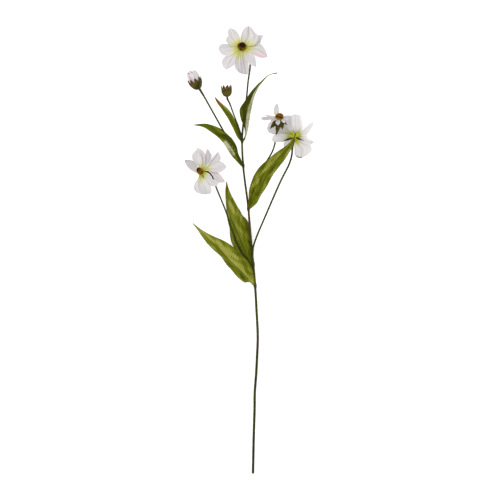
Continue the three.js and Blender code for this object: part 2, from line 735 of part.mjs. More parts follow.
// The eye of a bloom, seated at a level above the hub's middle and grown by extra: a dome of
// florets that stand out as knobs in staggered rings
function eyeSolid(bloom, level, extra) {
  const radius = bloom.eyeRadius + extra;
  const height = bloom.eyeHeight + extra;
  const profile = [new THREE.Vector2(0, 0)];
  for (let ring = 0; ring < EYE_RINGS; ring += 1) {
    const angle = (ring / EYE_RINGS) * (Math.PI / 2);
    const share = THREE.MathUtils.lerp(EYE_SKIRT, 1, Math.sin(angle));
    profile.push(new THREE.Vector2(radius * Math.cos(angle), height * share));
  }
  profile.push(new THREE.Vector2(0, height));
  const dome = new THREE.LatheGeometry(profile, EYE_SECTORS);
  const position = dome.attributes.position;
  for (let i = 0; i < position.count; i += 1) {
    const column = Math.floor(i / profile.length) % EYE_SECTORS;
    const ring = i % profile.length;
    const knob = 1 + EYE_KNOB * ((column + ring) % 2 === 0 ? 1 : -1);
    position.setX(i, position.getX(i) * knob);
    position.setZ(i, position.getZ(i) * knob);
  }
  const seat = bloom.centre.clone().addScaledVector(bloom.axis, level);
  return placed(dome, seat, bloom.axis);
}

// A ring of bracts that lean back from the petals by the bloom's reflex angle
function ringOfBracts(bloom) {
  const first = vec(1, 0, 0).projectOnPlane(bloom.axis).normalize();
  const reflex = THREE.MathUtils.degToRad(bloom.bractReflex);
  const bracts = [];
  for (let i = 0; i < bloom.bractCount; i += 1) {
    const outward = first.clone().applyAxisAngle(bloom.axis, (2 * Math.PI * i) / bloom.bractCount);
    const reach = outward.multiplyScalar(Math.cos(reflex)).addScaledVector(bloom.axis, -Math.sin(reflex));
    bracts.push([...reach.multiplyScalar(bloom.bractLength).toArray(), bloom.bractWidth]);
  }
  return bracts;
}

function calyxSolid(bloom) {
  const profile = [
    new THREE.Vector2(0, -CALYX_HEIGHT),
    new THREE.Vector2(CALYX_FOOT_RADIUS, -CALYX_HEIGHT),
    new THREE.Vector2(CALYX_WAIST_SHARE * bloom.hubRadius, -CALYX_HEIGHT / 2),
    new THREE.Vector2(CALYX_RIM_SHARE * bloom.hubRadius, 0),
    new THREE.Vector2(0, 0),
  ];
  const seat = bloom.centre.clone().addScaledVector(bloom.axis, -HUB_HALF_HEIGHT - GAP);
  const funnel = placed(new THREE.LatheGeometry(profile, CALYX_SIDES), seat, bloom.axis);
  const bracts = (bloom.bracts ?? ringOfBracts(bloom)).map(([x, y, z, halfWidth]) => {
    const outward = vec(x, y, z).projectOnPlane(bloom.axis).normalize();
    const root = seat.clone().addScaledVector(outward, BRACT_ROOT_RADIUS);
    root.addScaledVector(bloom.axis, -BRACT_ROOT_DEPTH);
    const tip = seat.clone().add(vec(x, y, z));
    const surface = bractSurface(root, tip, bloom.axis, halfWidth);
    return blade(surface, BRACT_ROWS, BRACT_COLUMNS, () => BRACT_THICKNESS);
  });
  return joined([funnel, ...bracts]);
}

// A cup with a toothed rim, round +Y from foot to height: outer wall, rim, inner wall and floor.
// The teeth are pointed at toothPower 1 and broad and round above it.
function toothedCup({ radiusAt, foot, floorLevel, wall, height, teeth, toothDepth, toothPower }) {
  const sectors = teeth * CUP_SUBDIVISION;
  const points = [vec(0, foot, 0)];
  const addRing = (share, inset) => {
    for (let k = 0; k < sectors; k += 1) {
      const fromTip = 1 - Math.abs((2 * (k % CUP_SUBDIVISION)) / CUP_SUBDIVISION - 1);
      const dip = toothDepth * fromTip ** toothPower * share;
      const level = THREE.MathUtils.lerp(foot, height, share * (1 - dip));
      const radius = radiusAt(level) - inset;
      const angle = (2 * Math.PI * k) / sectors;
      points.push(vec(radius * Math.sin(angle), level, radius * Math.cos(angle)));
    }
  };
  const floorShare = (floorLevel - foot) / (height - foot);
  const levels = Array.from({ length: CUP_RINGS + 1 }, (_, i) => i / CUP_RINGS);
  levels.forEach((level) => addRing(THREE.MathUtils.lerp(CUP_FOOT_SHARE, 1, level), 0));
  levels.forEach((level) => addRing(THREE.MathUtils.lerp(CUP_LIP_SHARE, floorShare, level), wall));
  points.push(vec(0, floorLevel, 0));
  const rings = 2 * levels.length;
  const last = points.length - 1;
  const rim = 1 + (rings - 1) * sectors;
  const faces = [];
  for (let k = 0; k < sectors; k += 1) {
    const next = (k + 1) % sectors;
    faces.push([0, 1 + next, 1 + k], [rim + k, rim + next, last]);
    for (let ring = 0; ring < rings - 1; ring += 1) {
      const a = 1 + ring * sectors + k;
      const b = 1 + ring * sectors + next;
      faces.push([a, b, b + sectors], [a, b + sectors, a + sectors]);
    }
  }
  return meshFrom(points, faces);
}

// A bud's outer radius at a level: a round foot, a full waist and a mouth drawn in a little
function budRadius(bud, level) {
  const share = level / Math.max(bud.cup.height, bud.crown.height);
  if (share < BUD_WAIST) {
    return bud.radius * Math.sqrt(1 - ((BUD_WAIST - share) / BUD_WAIST) ** 2);
  }
  const above = (share - BUD_WAIST) / (1 - BUD_WAIST);
  return bud.radius * THREE.MathUtils.lerp(1, bud.mouth, above ** 2);
}

function budCupSolid(bud) {
  const cup = toothedCup({
    ...bud.cup,
    radiusAt: (level) => budRadius(bud, level),
    foot: 0,
    floorLevel: CUP_FLOOR,
    wall: CUP_WALL,
  });
  return placed(cup, bud.base, bud.axis);
}

function budCrownSolid(bud) {
  const foot = CUP_FLOOR + GAP;
  const crown = toothedCup({
    ...bud.crown,
    radiusAt: (level) => budRadius(bud, level) - CUP_WALL - 2 * GAP,
    foot,
    floorLevel: THREE.MathUtils.lerp(foot, bud.crown.height, CROWN_FLOOR_SHARE),
    wall: CROWN_WALL,
  });
  return placed(crown, bud.base, bud.axis);
}

// The stem with its stalks, sheath and knots, all its radii grown by extra
function stemSolid(extra) {
  const stalkTo = (line, place, axis) => {
    const before = place.clone().addScaledVector(axis, -STALK_LEAD);
    return [...line, before, place];
  };
  const endOf = (bloom) => bloom.centre.clone().addScaledVector(bloom.axis, -STALK_END);
  const budEnd = (bud) => bud.base.clone().addScaledVector(bud.axis, -GAP);
  const stalks = {
    left: stalkTo(STALKS.left, endOf(BLOOMS.bloom_left), BLOOMS.bloom_left.axis),
    back: stalkTo(STALKS.back, endOf(BLOOMS.bloom_back), BLOOMS.bloom_back.axis),
    young: stalkTo(STALKS.young, endOf(BLOOMS.bloom_young), BLOOMS.bloom_young.axis),
    white_bud: stalkTo(STALKS.white_bud, budEnd(BUDS.bud_white), BUDS.bud_white.axis),
    green_bud: stalkTo(STALKS.green_bud, budEnd(BUDS.bud_green), BUDS.bud_green.axis),
  };
  const main = stalkTo(STEM.points, endOf(BLOOMS.bloom_top), BLOOMS.bloom_top.axis);
  const { footRadius, topRadius, sides, steps: stemSteps, taperStart } = STEM;
  const solids = [rod(main, footRadius + extra, topRadius + extra, sides, stemSteps, taperStart)];
  Object.entries(stalks).forEach(([name, line]) => {
    const radius = STALK_RADII[name] + extra;
    const length = new THREE.CatmullRomCurve3(line).getLength();
    const steps = Math.ceil(length / STALK_STEP_LENGTH) + 2;
    solids.push(rod(line, radius, radius, STALK_SIDES, steps));
  });
  solids.push(spindle(SHEATH.centre, SHEATH.axis, SHEATH.radius + extra, SHEATH.halfLength + extra));
  KNOTS.forEach((place) => {
    solids.push(spindle(place, vec(0, 1, 0), KNOT_RADIUS + extra, KNOT_HALF_LENGTH + extra));
  });
  return joined(solids);
}

const belowFloor = new THREE.BoxGeometry(FLOOR_SIZE, FLOOR_SIZE, FLOOR_SIZE);
const floor = toSolid(belowFloor.translate(0, 0, -FLOOR_SIZE / 2));
const clearOfStem = stemSolid(GAP);

const group = new THREE.Group();

function addPiece(name, solid, material) {
  const mesh = new THREE.Mesh(toGeometry(solid), material);
  mesh.name = name;
  group.add(mesh);
}

addPiece("stem", stemSolid(0).subtract(floor), MATERIALS.stem);

Object.entries(LEAVES).forEach(([name, leaf]) => {
  addPiece(name, largestBody(leafSolid(leaf).subtract(clearOfStem)), MATERIALS.leaf);
});

Object.entries(BLOOMS).forEach(([name, bloom]) => {
  addPiece(`${name}_petals`, largestBody(petalsSolid(bloom).subtract(floor)), MATERIALS.petal);
  addPiece(`${name}_disc`, eyeSolid(bloom, HUB_HALF_HEIGHT + GAP, 0), MATERIALS.eye);
  addPiece(`${name}_calyx`, calyxSolid(bloom), MATERIALS.calyx);
});

Object.entries(BUDS).forEach(([name, bud]) => {
  addPiece(`${name}_petals`, budCrownSolid(bud), MATERIALS.petal);
  addPiece(`${name}_calyx`, budCupSolid(bud), MATERIALS.calyx);
});

export default group;
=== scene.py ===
import bpy
import numpy as np
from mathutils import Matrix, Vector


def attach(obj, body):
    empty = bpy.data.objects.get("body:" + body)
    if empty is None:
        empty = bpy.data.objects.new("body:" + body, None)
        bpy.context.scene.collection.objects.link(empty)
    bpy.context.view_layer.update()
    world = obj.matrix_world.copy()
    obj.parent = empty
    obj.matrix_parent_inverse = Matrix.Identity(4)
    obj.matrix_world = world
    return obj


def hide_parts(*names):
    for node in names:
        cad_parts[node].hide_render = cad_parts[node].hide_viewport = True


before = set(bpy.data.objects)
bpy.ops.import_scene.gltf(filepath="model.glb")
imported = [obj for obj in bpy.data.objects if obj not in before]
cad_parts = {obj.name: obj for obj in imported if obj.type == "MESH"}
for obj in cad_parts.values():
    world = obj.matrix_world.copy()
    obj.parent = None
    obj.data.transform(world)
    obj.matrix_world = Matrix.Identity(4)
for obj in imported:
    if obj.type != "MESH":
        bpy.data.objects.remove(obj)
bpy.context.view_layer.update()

MM = 0.001
FLOOR_CLEARANCE = 0.02
RANDOM_SEED = 7
VALUE_NAMES = ("along", "across", "under", "seed", "pink", "green", "shade", "relief")
ROD_RIBS = 5
MARGIN_POWER = 6
TIP_POWER = 12
PALE_NOWHERE = ((2, 3), (2, 3), (2, 3))


def vec(*numbers):
    return np.array(numbers, float)


def unit(vector):
    return vector / np.linalg.norm(vector, axis=-1, keepdims=True)


def flattened(vector, axis):
    """The unit direction of the vector seen along the axis."""
    return unit(vector - np.dot(vector, axis) * axis)


def across_frame(axis):
    """Two directions square to the axis and to each other."""
    first = flattened(vec(1, 0, 0), axis)
    return first, np.cross(axis, first)


def around(angle, first, second):
    """The direction at an angle from the first towards the second."""
    return np.cos(angle)[..., None] * first + np.sin(angle)[..., None] * second


def full_turn(count):
    return np.linspace(0, 2 * np.pi, count, endpoint=False)


def smooth(low, high, value):
    """A soft step from 0 at low to 1 at high. Low may be the greater."""
    share = np.clip((value - low) / (high - low), 0, 1)
    return share * share * (3 - 2 * share)


def bump(centre, width, value):
    return np.exp(-(((value - centre) / width) ** 2))


class Route:
    """A smooth centripetal line through points, read by its share of length."""

    SAMPLES_PER_SPAN = 30
    TANGENT_STEP = 0.004

    def __init__(self, points):
        points = [np.asarray(point, float) for point in points]
        ends = [2 * points[0] - points[1], *points, 2 * points[-1] - points[-2]]
        steps = np.linspace(0, 1, self.SAMPLES_PER_SPAN, endpoint=False)[:, None]
        spans = [self.span(*ends[i : i + 4], steps) for i in range(len(points) - 1)]
        self.line = np.vstack([*spans, points[-1]])
        travelled = np.cumsum(np.linalg.norm(np.diff(self.line, axis=0), axis=1))
        self.length = travelled[-1]
        self.shares = np.concatenate([[0], travelled]) / self.length

    @staticmethod
    def span(before, start, end, after, steps):
        gaps = [np.linalg.norm(b - a) ** 0.5 for a, b in ((before, start), (start, end), (end, after))]
        first = (start - before) / gaps[0] - (end - before) / (gaps[0] + gaps[1])
        last = (end - start) / gaps[1] - (after - start) / (gaps[1] + gaps[2])
        leave = (first + (end - start) / gaps[1]) * gaps[1]
        arrive = (last + (after - end) / gaps[2]) * gaps[1]
        square = 3 * (end - start) - 2 * leave - arrive
        cube = 2 * (start - end) + leave + arrive
        return start + leave * steps + square * steps**2 + cube * steps**3

    def at(self, share):
        return np.stack([np.interp(share, self.shares, self.line[:, k]) for k in range(3)], axis=-1)

    def tangent(self, share):
        after, before = (self.at(np.clip(share + k * self.TANGENT_STEP, 0, 1)) for k in (1, -1))
        return unit(after - before)


class Shape:
    """Closed bodies in millimetres, with the values that the materials read at each point."""

    def __init__(self):
        self.points = []
        self.faces = []
        self.values = []
        self.count = 0

    def add(self, points, faces, **values):
        """Adds a body. A value is one number for the body or one for each point."""
        table = [np.broadcast_to(values.get(name, 0.0), len(points)) for name in VALUE_NAMES]
        self.points.append(points)
        self.faces += [[corner + self.count for corner in face] for face in faces]
        self.values.append(np.stack(table, axis=1))
        self.count += len(points)

    def put(self, name, value):
        """Gives the last body a value at each point."""
        self.values[-1][:, VALUE_NAMES.index(name)] = value

    def keep_above_floor(self):
        for points in self.points:
            points[:, 2] = np.maximum(points[:, 2], FLOOR_CLEARANCE)


def add_object(name, data):
    made = bpy.data.objects.new(name, data)
    bpy.context.scene.collection.objects.link(made)
    return made


def piece(name, shape, material, slot, *nodes):
    """Makes the mesh object that stands for the CAD nodes."""
    mesh = bpy.data.meshes.new(name)
    mesh.from_pydata((np.vstack(shape.points) * MM).tolist(), [], shape.faces)
    values = np.vstack(shape.values).astype(np.float32)
    for column, value_name in enumerate(VALUE_NAMES):
        attribute = mesh.attributes.new(value_name, "FLOAT", "POINT")
        attribute.data.foreach_set("value", np.ascontiguousarray(values[:, column]))
    mesh.polygons.foreach_set("use_smooth", [True] * len(mesh.polygons))
    mesh.materials.append(material)
    made = add_object(name, mesh)
    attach(made, "root")
    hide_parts(*nodes)


def quads(grid, beside):
    """The faces between rows of point numbers and those of the points beside them."""
    return np.stack([grid[:-1], beside[:-1], beside[1:], grid[1:]], axis=-1).reshape(-1, 4).tolist()


def add_rings(shape, rings, **values):
    """A closed body through rings of points, with flat ends."""
    grid = np.arange(len(rings) * len(rings[0])).reshape(len(rings), -1)
    faces = [*quads(grid, np.roll(grid, -1, axis=1)), grid[0, ::-1].tolist(), grid[-1].tolist()]
    shape.add(np.vstack(rings), faces, **values)


def add_rod(shape, route, radius_at, sides, step, ribs=0.0, **values):
    """A round rod along the route. radius_at gives its radius at shares of the length."""
    shares = np.linspace(0, 1, int(route.length / step) + 2)
    tangents = route.tangent(shares)
    angles = full_turn(sides)
    ribbed = 1 + ribs * np.cos(ROD_RIBS * angles)
    side = flattened(vec(0.3, 0.2, 1), tangents[0])
    rings = []
    for centre, tangent, radius in zip(route.at(shares), tangents, radius_at(shares)):
        side = flattened(side, tangent)
        rings.append(centre + radius * ribbed[:, None] * around(angles, side, np.cross(tangent, side)))
    add_rings(shape, rings, along=np.repeat(shares, sides), **values)


def add_blade(shape, surface, rows, columns, thickness, edge_share, pale=PALE_NOWHERE, **values):
    """A thin closed blade about a middle surface(u, v): u runs from root to tip, v from -1 to 1.
    Where soft steps in u, u and v make it pale, its face looks like its back. A value may be a
    function of u and v."""
    u, v = np.meshgrid(np.linspace(0, 1, rows + 1), np.linspace(-1, 1, columns + 1), indexing="ij")
    middle = surface(u, v)
    normal = unit(np.cross(np.gradient(middle, axis=1), np.gradient(middle, axis=0)))
    taper = 1 - (1 - edge_share) * np.maximum(np.abs(v) ** MARGIN_POWER, u**TIP_POWER)
    half = normal * (thickness / 2 * taper)[..., None]
    points = np.concatenate([(middle + half).reshape(-1, 3), (middle - half).reshape(-1, 3)])
    grid = np.arange(u.size).reshape(u.shape)
    rim = np.concatenate([grid[:, 0], grid[-1, 1:], grid[-2::-1, -1], grid[0, -2:0:-1]])
    edge = np.stack([rim, rim + u.size])
    faces = quads(grid[:, :-1], grid[:, 1:])
    faces += [[corner + u.size for corner in face[::-1]] for face in faces]
    faces += quads(edge, np.roll(edge, -1, axis=1))
    face = smooth(*pale[0], u) * smooth(*pale[1], u) * smooth(*pale[2], v)
    values.update(along=lambda u, v: u, across=lambda u, v: v)
    for name, value in values.items():
        if callable(value):
            values[name] = np.tile(value(u, v).ravel(), 2)
    shape.add(points, faces, under=np.concatenate([face.ravel(), np.ones(u.size)]), **values)


# Blooms

HUB_HALF_HEIGHT = 1.6
GAP = 0.3
CALYX_HEIGHT = 6.6
STALK_END = HUB_HALF_HEIGHT + GAP + CALYX_HEIGHT + GAP
STALK_LEAD = 2.5
PETAL_ROOT_RADIUS = 2.4
PETAL_TIP_SHARE = 0.995
PETAL_ARCH = 0.08
PETAL_CUP = 0.12
PETAL_THICKNESS = 0.4
PETAL_GRID = (48, 40)
MARGIN_RIPPLE = 0.012
MARGIN_WAVE = 0.07
PETAL_TWIST = 0.06
FURROW_HEIGHT = 0.25
FURROW_PITCH = 3.1 * np.pi
PLEAT_HEIGHT = 0.07
PLEAT_PITCH = 7.5 * np.pi
PETAL_LOOKS = dict(lift=0.0, creases=(), pink=0.0, shade=0.0, green=1.0)


def petal(left, tip, right, **looks):
    """A petal's margins seen from above, from the hub outward, and its tip, all from the hub's
    middle. Lift raises it over its neighbours. A crease is (v, depth, width). Pink is signed by the
    margin that it tints."""
    return dict(left=left, tip=vec(*tip), right=right, **{**PETAL_LOOKS, **looks})


TOP_PETALS = [
    petal([(-1.6, 7), (-2, 13), (-1.2, 20), (1.2, 26.5), (5.5, 32)], (11, 34.6, -27),
        [(8, 1), (16, 1.5), (22, 5), (26, 11.5), (26.6, 17), (21.5, 23), (16, 30)], lift=1.5,
        creases=[(-0.25, 1.3, 0.09)]),
    petal([(4, 5), (12, 11), (20, 17), (26, 19.3)], (34.2, 19.4, -21),
        [(7, 0.5), (16, 0.5), (25, 2.5), (29.8, 9), (31.2, 14.4)], lift=-1),
    petal([(7, 2.5), (18, 5), (27, 6.5), (32, 2.5), (36.5, -4), (39, -10)], (40.3, -15.5, -4),
        [(5.2, -4.6), (10.8, -8.8), (17, -12), (24, -14.8), (32, -16.8)], pink=1.4),
    petal([(5, -4), (10, -7.5), (16.8, -11.5), (20.5, -17), (21.8, -25)], (22.3, -31.5, 9),
        [(3, -7), (4, -13), (6.5, -20), (10.5, -26), (16.5, -29.5)], lift=1),
    petal([(2.5, -7), (4.5, -14), (8.5, -24), (11, -34), (9.6, -42.5)], (2, -42.2, 6),
        [(-4.5, -6.5), (-7.8, -13), (-9.8, -20), (-11.5, -27), (-9.5, -35), (-4, -40.5)], lift=-1.5,
        creases=[(-0.4, 1.2, 0.1), (0.1, 1.3, 0.1), (0.55, 1.2, 0.1)], pink=-0.6),
    petal([(-5, -7), (-8, -14), (-10.5, -21), (-13, -28), (-18.5, -32.2)], (-25, -35.7, 2),
        [(-9, -5), (-18, -11), (-26.5, -14.5), (-31, -21), (-30.5, -29)], lift=0.5),
    petal([(-8, -4), (-16, -8.5), (-24, -12.5), (-30, -12), (-35, -7)], (-37.7, -1, -21),
        [(-8, 3), (-15, 3), (-22, 5), (-28.5, 6.2), (-34.5, 4)], lift=-1),
    petal([(-8, 1.5), (-16, 1.5), (-21.5, 5.5), (-25, 11), (-24.5, 14.8), (-21.8, 17.8), (-22.4, 25)],
        (-20.8, 30.6, -32.2),
        [(-2.5, 8), (-3.5, 15), (-6, 21), (-10, 26.6), (-15.8, 30.8)], lift=1),
]
LEFT_PETALS = [
    petal([(-5, -1), (-9.5, 0.8), (-15, 3.5), (-20.5, 8), (-25.2, 14)], (-27, 19.6, -26.3),
        [(-4, 7), (-9, 14), (-13.5, 18.8), (-19, 20.8), (-24.3, 21.2)], lift=-2, shade=0.5, green=0.6),
    petal([(-3.5, 8.5), (-9, 14), (-14, 19.5), (-15.4, 25.4), (-14, 31.2)], (-10, 35, -19),
        [(1, 6), (1.5, 14), (1, 22), (-1.5, 29.6), (-5.4, 33.8)], lift=2),
    petal([(-1, 7), (-4, 16), (-7, 25), (-9, 34)], (-8, 41, -21),
        [(2.5, 6), (5, 14), (5.8, 22), (5, 30), (0.2, 36.4)], pink=0.85),
    petal([(2.5, 7), (4.6, 14), (5.8, 24), (6.4, 33)], (8.5, 38.8, -15),
        [(6, 6.5), (9.5, 14), (14, 21), (15.6, 27.4), (12.5, 34.2)], lift=-1.5, shade=0.35),
    petal([(6, 6.5), (11, 15), (15, 22), (18.5, 26), (22, 29.8)], (25.8, 33.6, -4),
        [(8, 5.5), (15, 12.5), (22, 16), (28.5, 19.5), (29.8, 25)], creases=[(-0.35, 1.2, 0.12)]),
    petal([(7, 5.8), (14, 12.5), (21, 16), (28, 18.3), (34.5, 15.5)], (38.8, 9.5, 5),
        [(7.5, 4.4), (14, 2.4), (21, 0.6), (29, 1.2), (35.5, 5)], lift=1.5),
    petal([(8, 6), (16, 5), (22, 2), (27, -1), (31.5, -6), (35.3, -11.5)], (36.5, -14.5, 6),
        [(7.2, 4), (12.4, 2.4), (16, -1), (18.3, -6.5), (20.8, -12), (24.5, -15), (30, -15.3)], lift=-1.5,
        pink=-1),
    petal([(3.2, 2.2), (8.4, 0.5), (12.6, -1.8), (15.2, -7.5), (19, -10.5), (25, -14)], (26, -17.5, 16),
        [(2, -3), (4, -9), (8, -15), (14, -20.5), (21, -21.3)]),
    petal([(0.5, -4), (4, -10), (9, -17), (14, -21), (15.5, -27), (14.8, -32)], (6, -34, 9),
        [(-4, -4), (-6, -9), (-10, -14.5), (-12.3, -21), (-11, -27.5), (-5, -32)], lift=1, green=0.6,
        creases=[(0.3, 0.7, 0.15), (-0.2, 0.6, 0.12)]),
]
YOUNG_PETALS = [
    petal([(-7, 4), (-9, 8), (-9.3, 13.4), (-8, 18.6)], (-4.6, 24.3, -24),
        [(-1.5, 6), (-0.8, 11), (-1.1, 16.6), (-2.6, 21.2)]),
    petal([(-7, -1.6), (-14, -2.6), (-20, -3.6), (-25, -4)], (-30, -0.8, 2),
        [(-7, 1), (-14, 1.6), (-20, 2), (-26, 1.7)], lift=1, shade=0.4),
    petal([(-8, 0), (-14, 1), (-19, 2)], (-23.6, 5, -6), [(-6, 3), (-11, 3.6), (-17, 4.8)], lift=-1),
    petal([(-4, -2.6), (-8, -4), (-12, -5)], (-15, -4.6, 3), [(-5, -1), (-9, -2), (-13, -2.8)]),
    petal([(0.5, -2.5), (0.8, -7)], (-2.5, -12, 10), [(-4, -2.5), (-6.5, -7.5)], shade=0.3),
    petal([(4.5, -1), (8, -4.5)], (8.3, -8.3, 9), [(2, -3.5), (4.2, -6.5)], lift=1),
    petal([(5, 1.5), (10, 1.5)], (14.5, -2, 3), [(5, -1.5), (9.5, -3.5)]),
]
BACK_PETALS = [
    petal([(-5, -1), (-14, 1), (-24, 3.5), (-33, 4), (-40, 6.3)], (-43.3, 12.5, -5),
        [(-5, 5), (-14, 15), (-24, 22), (-34, 24.5), (-41, 20.5)], lift=-1.5, shade=0.25),
    petal([(-4, -3), (-11, -6), (-18, -8.2), (-28, -8.8), (-34, -8.2)], (-35.8, -5.5, 12),
        [(-5, 3), (-14, 4.2), (-24, 4), (-32, 2.5), (-34.8, -1.5)], lift=0.5),
    petal([(-5, 4), (-13.5, 12), (-18.5, 19), (-19, 27), (-16, 32)], (-10, 33.3, 13),
        [(-1, 6), (-2, 16), (-3, 25), (-4.5, 32)], shade=0.1, green=0.7),
    petal([(-3, 5), (-5, 14), (-5.8, 24), (-5, 31), (-3, 34.3)], (2, 34.5, 20),
        [(6, 4), (12.5, 10), (13, 17), (11.5, 25.5), (8.3, 33.3)], lift=1.5, green=0.7,
        creases=[(-0.25, 1, 0.12), (0.45, 0.9, 0.12)]),
    petal([(4, 4), (12, 9.5), (18, 15.2), (23.5, 20.2)], (29.2, 23.2, 13),
        [(6, 1.5), (14, 3), (20, 4), (24.5, 10), (29, 17.2)], lift=-1),
    petal([(4, 2), (12, 4), (19, 3), (21, -3), (26, -5.2)], (31.4, -9.2, -2),
        [(4, -4), (10, -9), (16, -12.5), (23, -13.8)], lift=1, creases=[(0.1, 1.2, 0.15)]),
    petal([(6, -4), (16, -8.5), (24.5, -13.5), (27, -19), (24.5, -25.5), (18, -29.7)], (11, -33.3, -25.2),
        [(-1, -6), (-0.3, -12), (0, -20), (0.7, -28), (5, -32.2)], lift=-0.5, creases=[(0.2, 0.9, 0.12)]),
    petal([(-2, -5), (-7, -12), (-12, -16.8)], (-16.7, -16, -14),
        [(-5, -3), (-11, -6), (-16.8, -9.5)], lift=-1.5),
]

BLOOMS = {
    "top": dict(
        centre=vec(-11.3, 318.6, 30.4), axis=unit(vec(-0.1, 0.41, 0.907)), hub_radius=4.6, eye=(6.5, 4.2),
        eye_shadows=[(0.4, 2.4, 6.2, 5.6), (-1, -4.5, 3, 2.2), (6, -2.5, 2, 2)], green=0.4, shade=0.1,
        petals=TOP_PETALS, bract_ring=(8, 11, 2, 50),
    ),
    "left": dict(
        centre=vec(-74.6, 121.4, 26), axis=unit(vec(-0.407, 0.235, 0.883)), hub_radius=4.2, eye=(4.7, 6.6),
        eye_lean=vec(-1.9, 4.2, -0.5), eye_fullness=0.7,
        eye_shadows=[(-7.4, 4.8, 3, 3), (-5.2, 7.8, 3.4, 3), (2.6, 1.5, 1.2, 2.2)], green=0.33, shade=0.08,
        petals=LEFT_PETALS, bract_ring=(8, 10, 2, 48),
    ),
    "young": dict(
        centre=vec(47.6, 207, 50), axis=unit(vec(-0.1, 0.75, 0.654)), hub_radius=3.8, eye=(6, 5.4),
        eye_shadows=[(-3.6, 1.6, 2.3, 1.9), (0, 1.2, 2, 1.8), (4, 0.2, 2.4, 2), (2, 4.6, 1.2, 0.8)],
        green=0.15, shade=0.1, petals=YOUNG_PETALS,
        bracts=[
            (-15.6, -15.2, 0, 5.4), (-5.3, -25.5, -5, 4), (4.8, -16.8, -2, 4.2), (11.8, -9.6, -2, 2.8),
            (-12, 4, -11, 2.8), (-1, 9, -14, 2.8),
        ],
    ),
    "back": dict(
        centre=vec(71, 178.5, 24.5), axis=unit(vec(0.1, 0.55, -0.829)), hub_radius=4.6, eye=(6.2, 4),
        eye_shadows=[(0, 0, 4, 4)], green=0.31, shade=-0.5, petals=BACK_PETALS,
        bracts=[
            (-19.5, -6.5, 6, 1.9), (15.5, -5.5, 4, 1.4), (9.5, -1.5, 6, 1.2), (-10, 3.5, 7, 1.8),
            (9, 5.5, 7, 1.8), (5, -10, 1, 1.8), (-8, -11, 1, 1.8), (-3.5, 10, 10, 1.8), (5, 9.5, 10, 1.8),
        ],
        olive_bracts=3,
    ),
}


def margin(points, tip):
    """One margin of a petal in plan, from the hub to the tip."""
    points = [vec(*point, 0) for point in points]
    return Route([PETAL_ROOT_RADIUS * unit(points[0]), *points, vec(*tip[:2], 0)])


def petal_relief(row, random):
    """The height in millimetres of a petal's furrows, fine pleats and creases at u and v."""
    phases = random.uniform(0, 2 * np.pi, 3)

    def relief(u, v):
        open_blade = np.sin(np.pi * u) ** 0.7
        uneven = 1.3 * np.sin(2.3 * np.pi * v + phases[2] + u)
        height = FURROW_HEIGHT * np.cos(FURROW_PITCH * v + phases[0] + uneven) * open_blade
        height += PLEAT_HEIGHT * np.cos(PLEAT_PITCH * v + phases[1] + 1.5 * u + uneven) * open_blade
        for where, depth, width in row["creases"]:
            height -= depth * bump(where, width, v) * smooth(0.02, 0.3, u)
        return height

    return relief


def petal_surface(bloom, row, relief, random):
    """The middle surface of a petal. It leaves the hub square to the axis, bends to the tip's
    height, and has its relief and a soft margin."""
    axis = bloom["axis"]
    facing = np.sign(axis[2])
    tip = row["tip"]
    reach = np.hypot(tip[0], tip[1])
    left = margin(row["left"], tip)
    right = margin(row["right"], tip)
    level = -axis[:2] / axis[2]
    droop = tip[2] - level @ tip[:2]
    phases = random.uniform(0, 2 * np.pi, 3)

    def surface(u, v):
        share = u * PETAL_TIP_SHARE
        ripple = MARGIN_RIPPLE * np.sin(8 * u + phases[0] + 2 * np.sign(v)) * np.abs(v) * u
        start = left.at(share)
        span = right.at(share) - start
        plan = start + span * ((v + 1) / 2 + ripple * np.sign(v))[..., None]
        half = np.linalg.norm(span, axis=-1) / 2
        x, y = plan[..., 0], plan[..., 1]
        out = np.hypot(x, y) / reach
        height = level[0] * x + level[1] * y + droop * out**2
        height += facing * PETAL_ARCH * reach * out * (1 - out)
        height += row["lift"] * smooth(0.2, 0.6, out)
        height += facing * PETAL_CUP * half * v**2
        height += MARGIN_WAVE * half * v**2 * np.sin(9 * u + phases[1] + 1.3 * np.sign(v)) * u
        height += PETAL_TWIST * half * v * np.sin(4.4 * u + phases[2])
        height += relief(u, v)
        return bloom["centre"] + np.stack([x, y, height], axis=-1)

    return surface


def bloom_petals(bloom, random):
    """The hub, flat at its ends, and the petals that spring from it."""
    shape = Shape()
    line = Route([bloom["centre"] + end * HUB_HALF_HEIGHT * bloom["axis"] for end in (-1, 0, 1)])
    add_rod(shape, line, lambda s: bloom["hub_radius"] * (1 - 0.5 * np.abs(2 * s - 1) ** 4), 32, 0.3, green=3)
    for row in bloom["petals"]:
        relief = petal_relief(row, random)
        add_blade(
            shape, petal_surface(bloom, row, relief, random), *PETAL_GRID, PETAL_THICKNESS, edge_share=0.45,
            seed=random.uniform(), shade=row["shade"] + bloom["shade"], pink=row["pink"], relief=relief,
            green=bloom["green"] * row["green"] * random.uniform(0.75, 1.2),
        )
    shape.keep_above_floor()
    return shape


FLORETS = 190
FLORET_SIDES = 6
FLORET_PROFILE = ((0.75, -0.5), (0.8, 0.35), (1.0, 0.8), (0.62, 1.0))
FLORET_WIDTH = 1.15
FLORET_HEIGHT = 0.16
SHADOW_SCATTER = 0.5
FLORET_LEAN = 0.1
GOLDEN_ANGLE = np.pi * (3 - 5**0.5)
DOME_RIM_LEVEL = 0.2
DOME_CROWN = 0.8
DOME_SHARE = 0.93
CORE_SHARE = 0.9


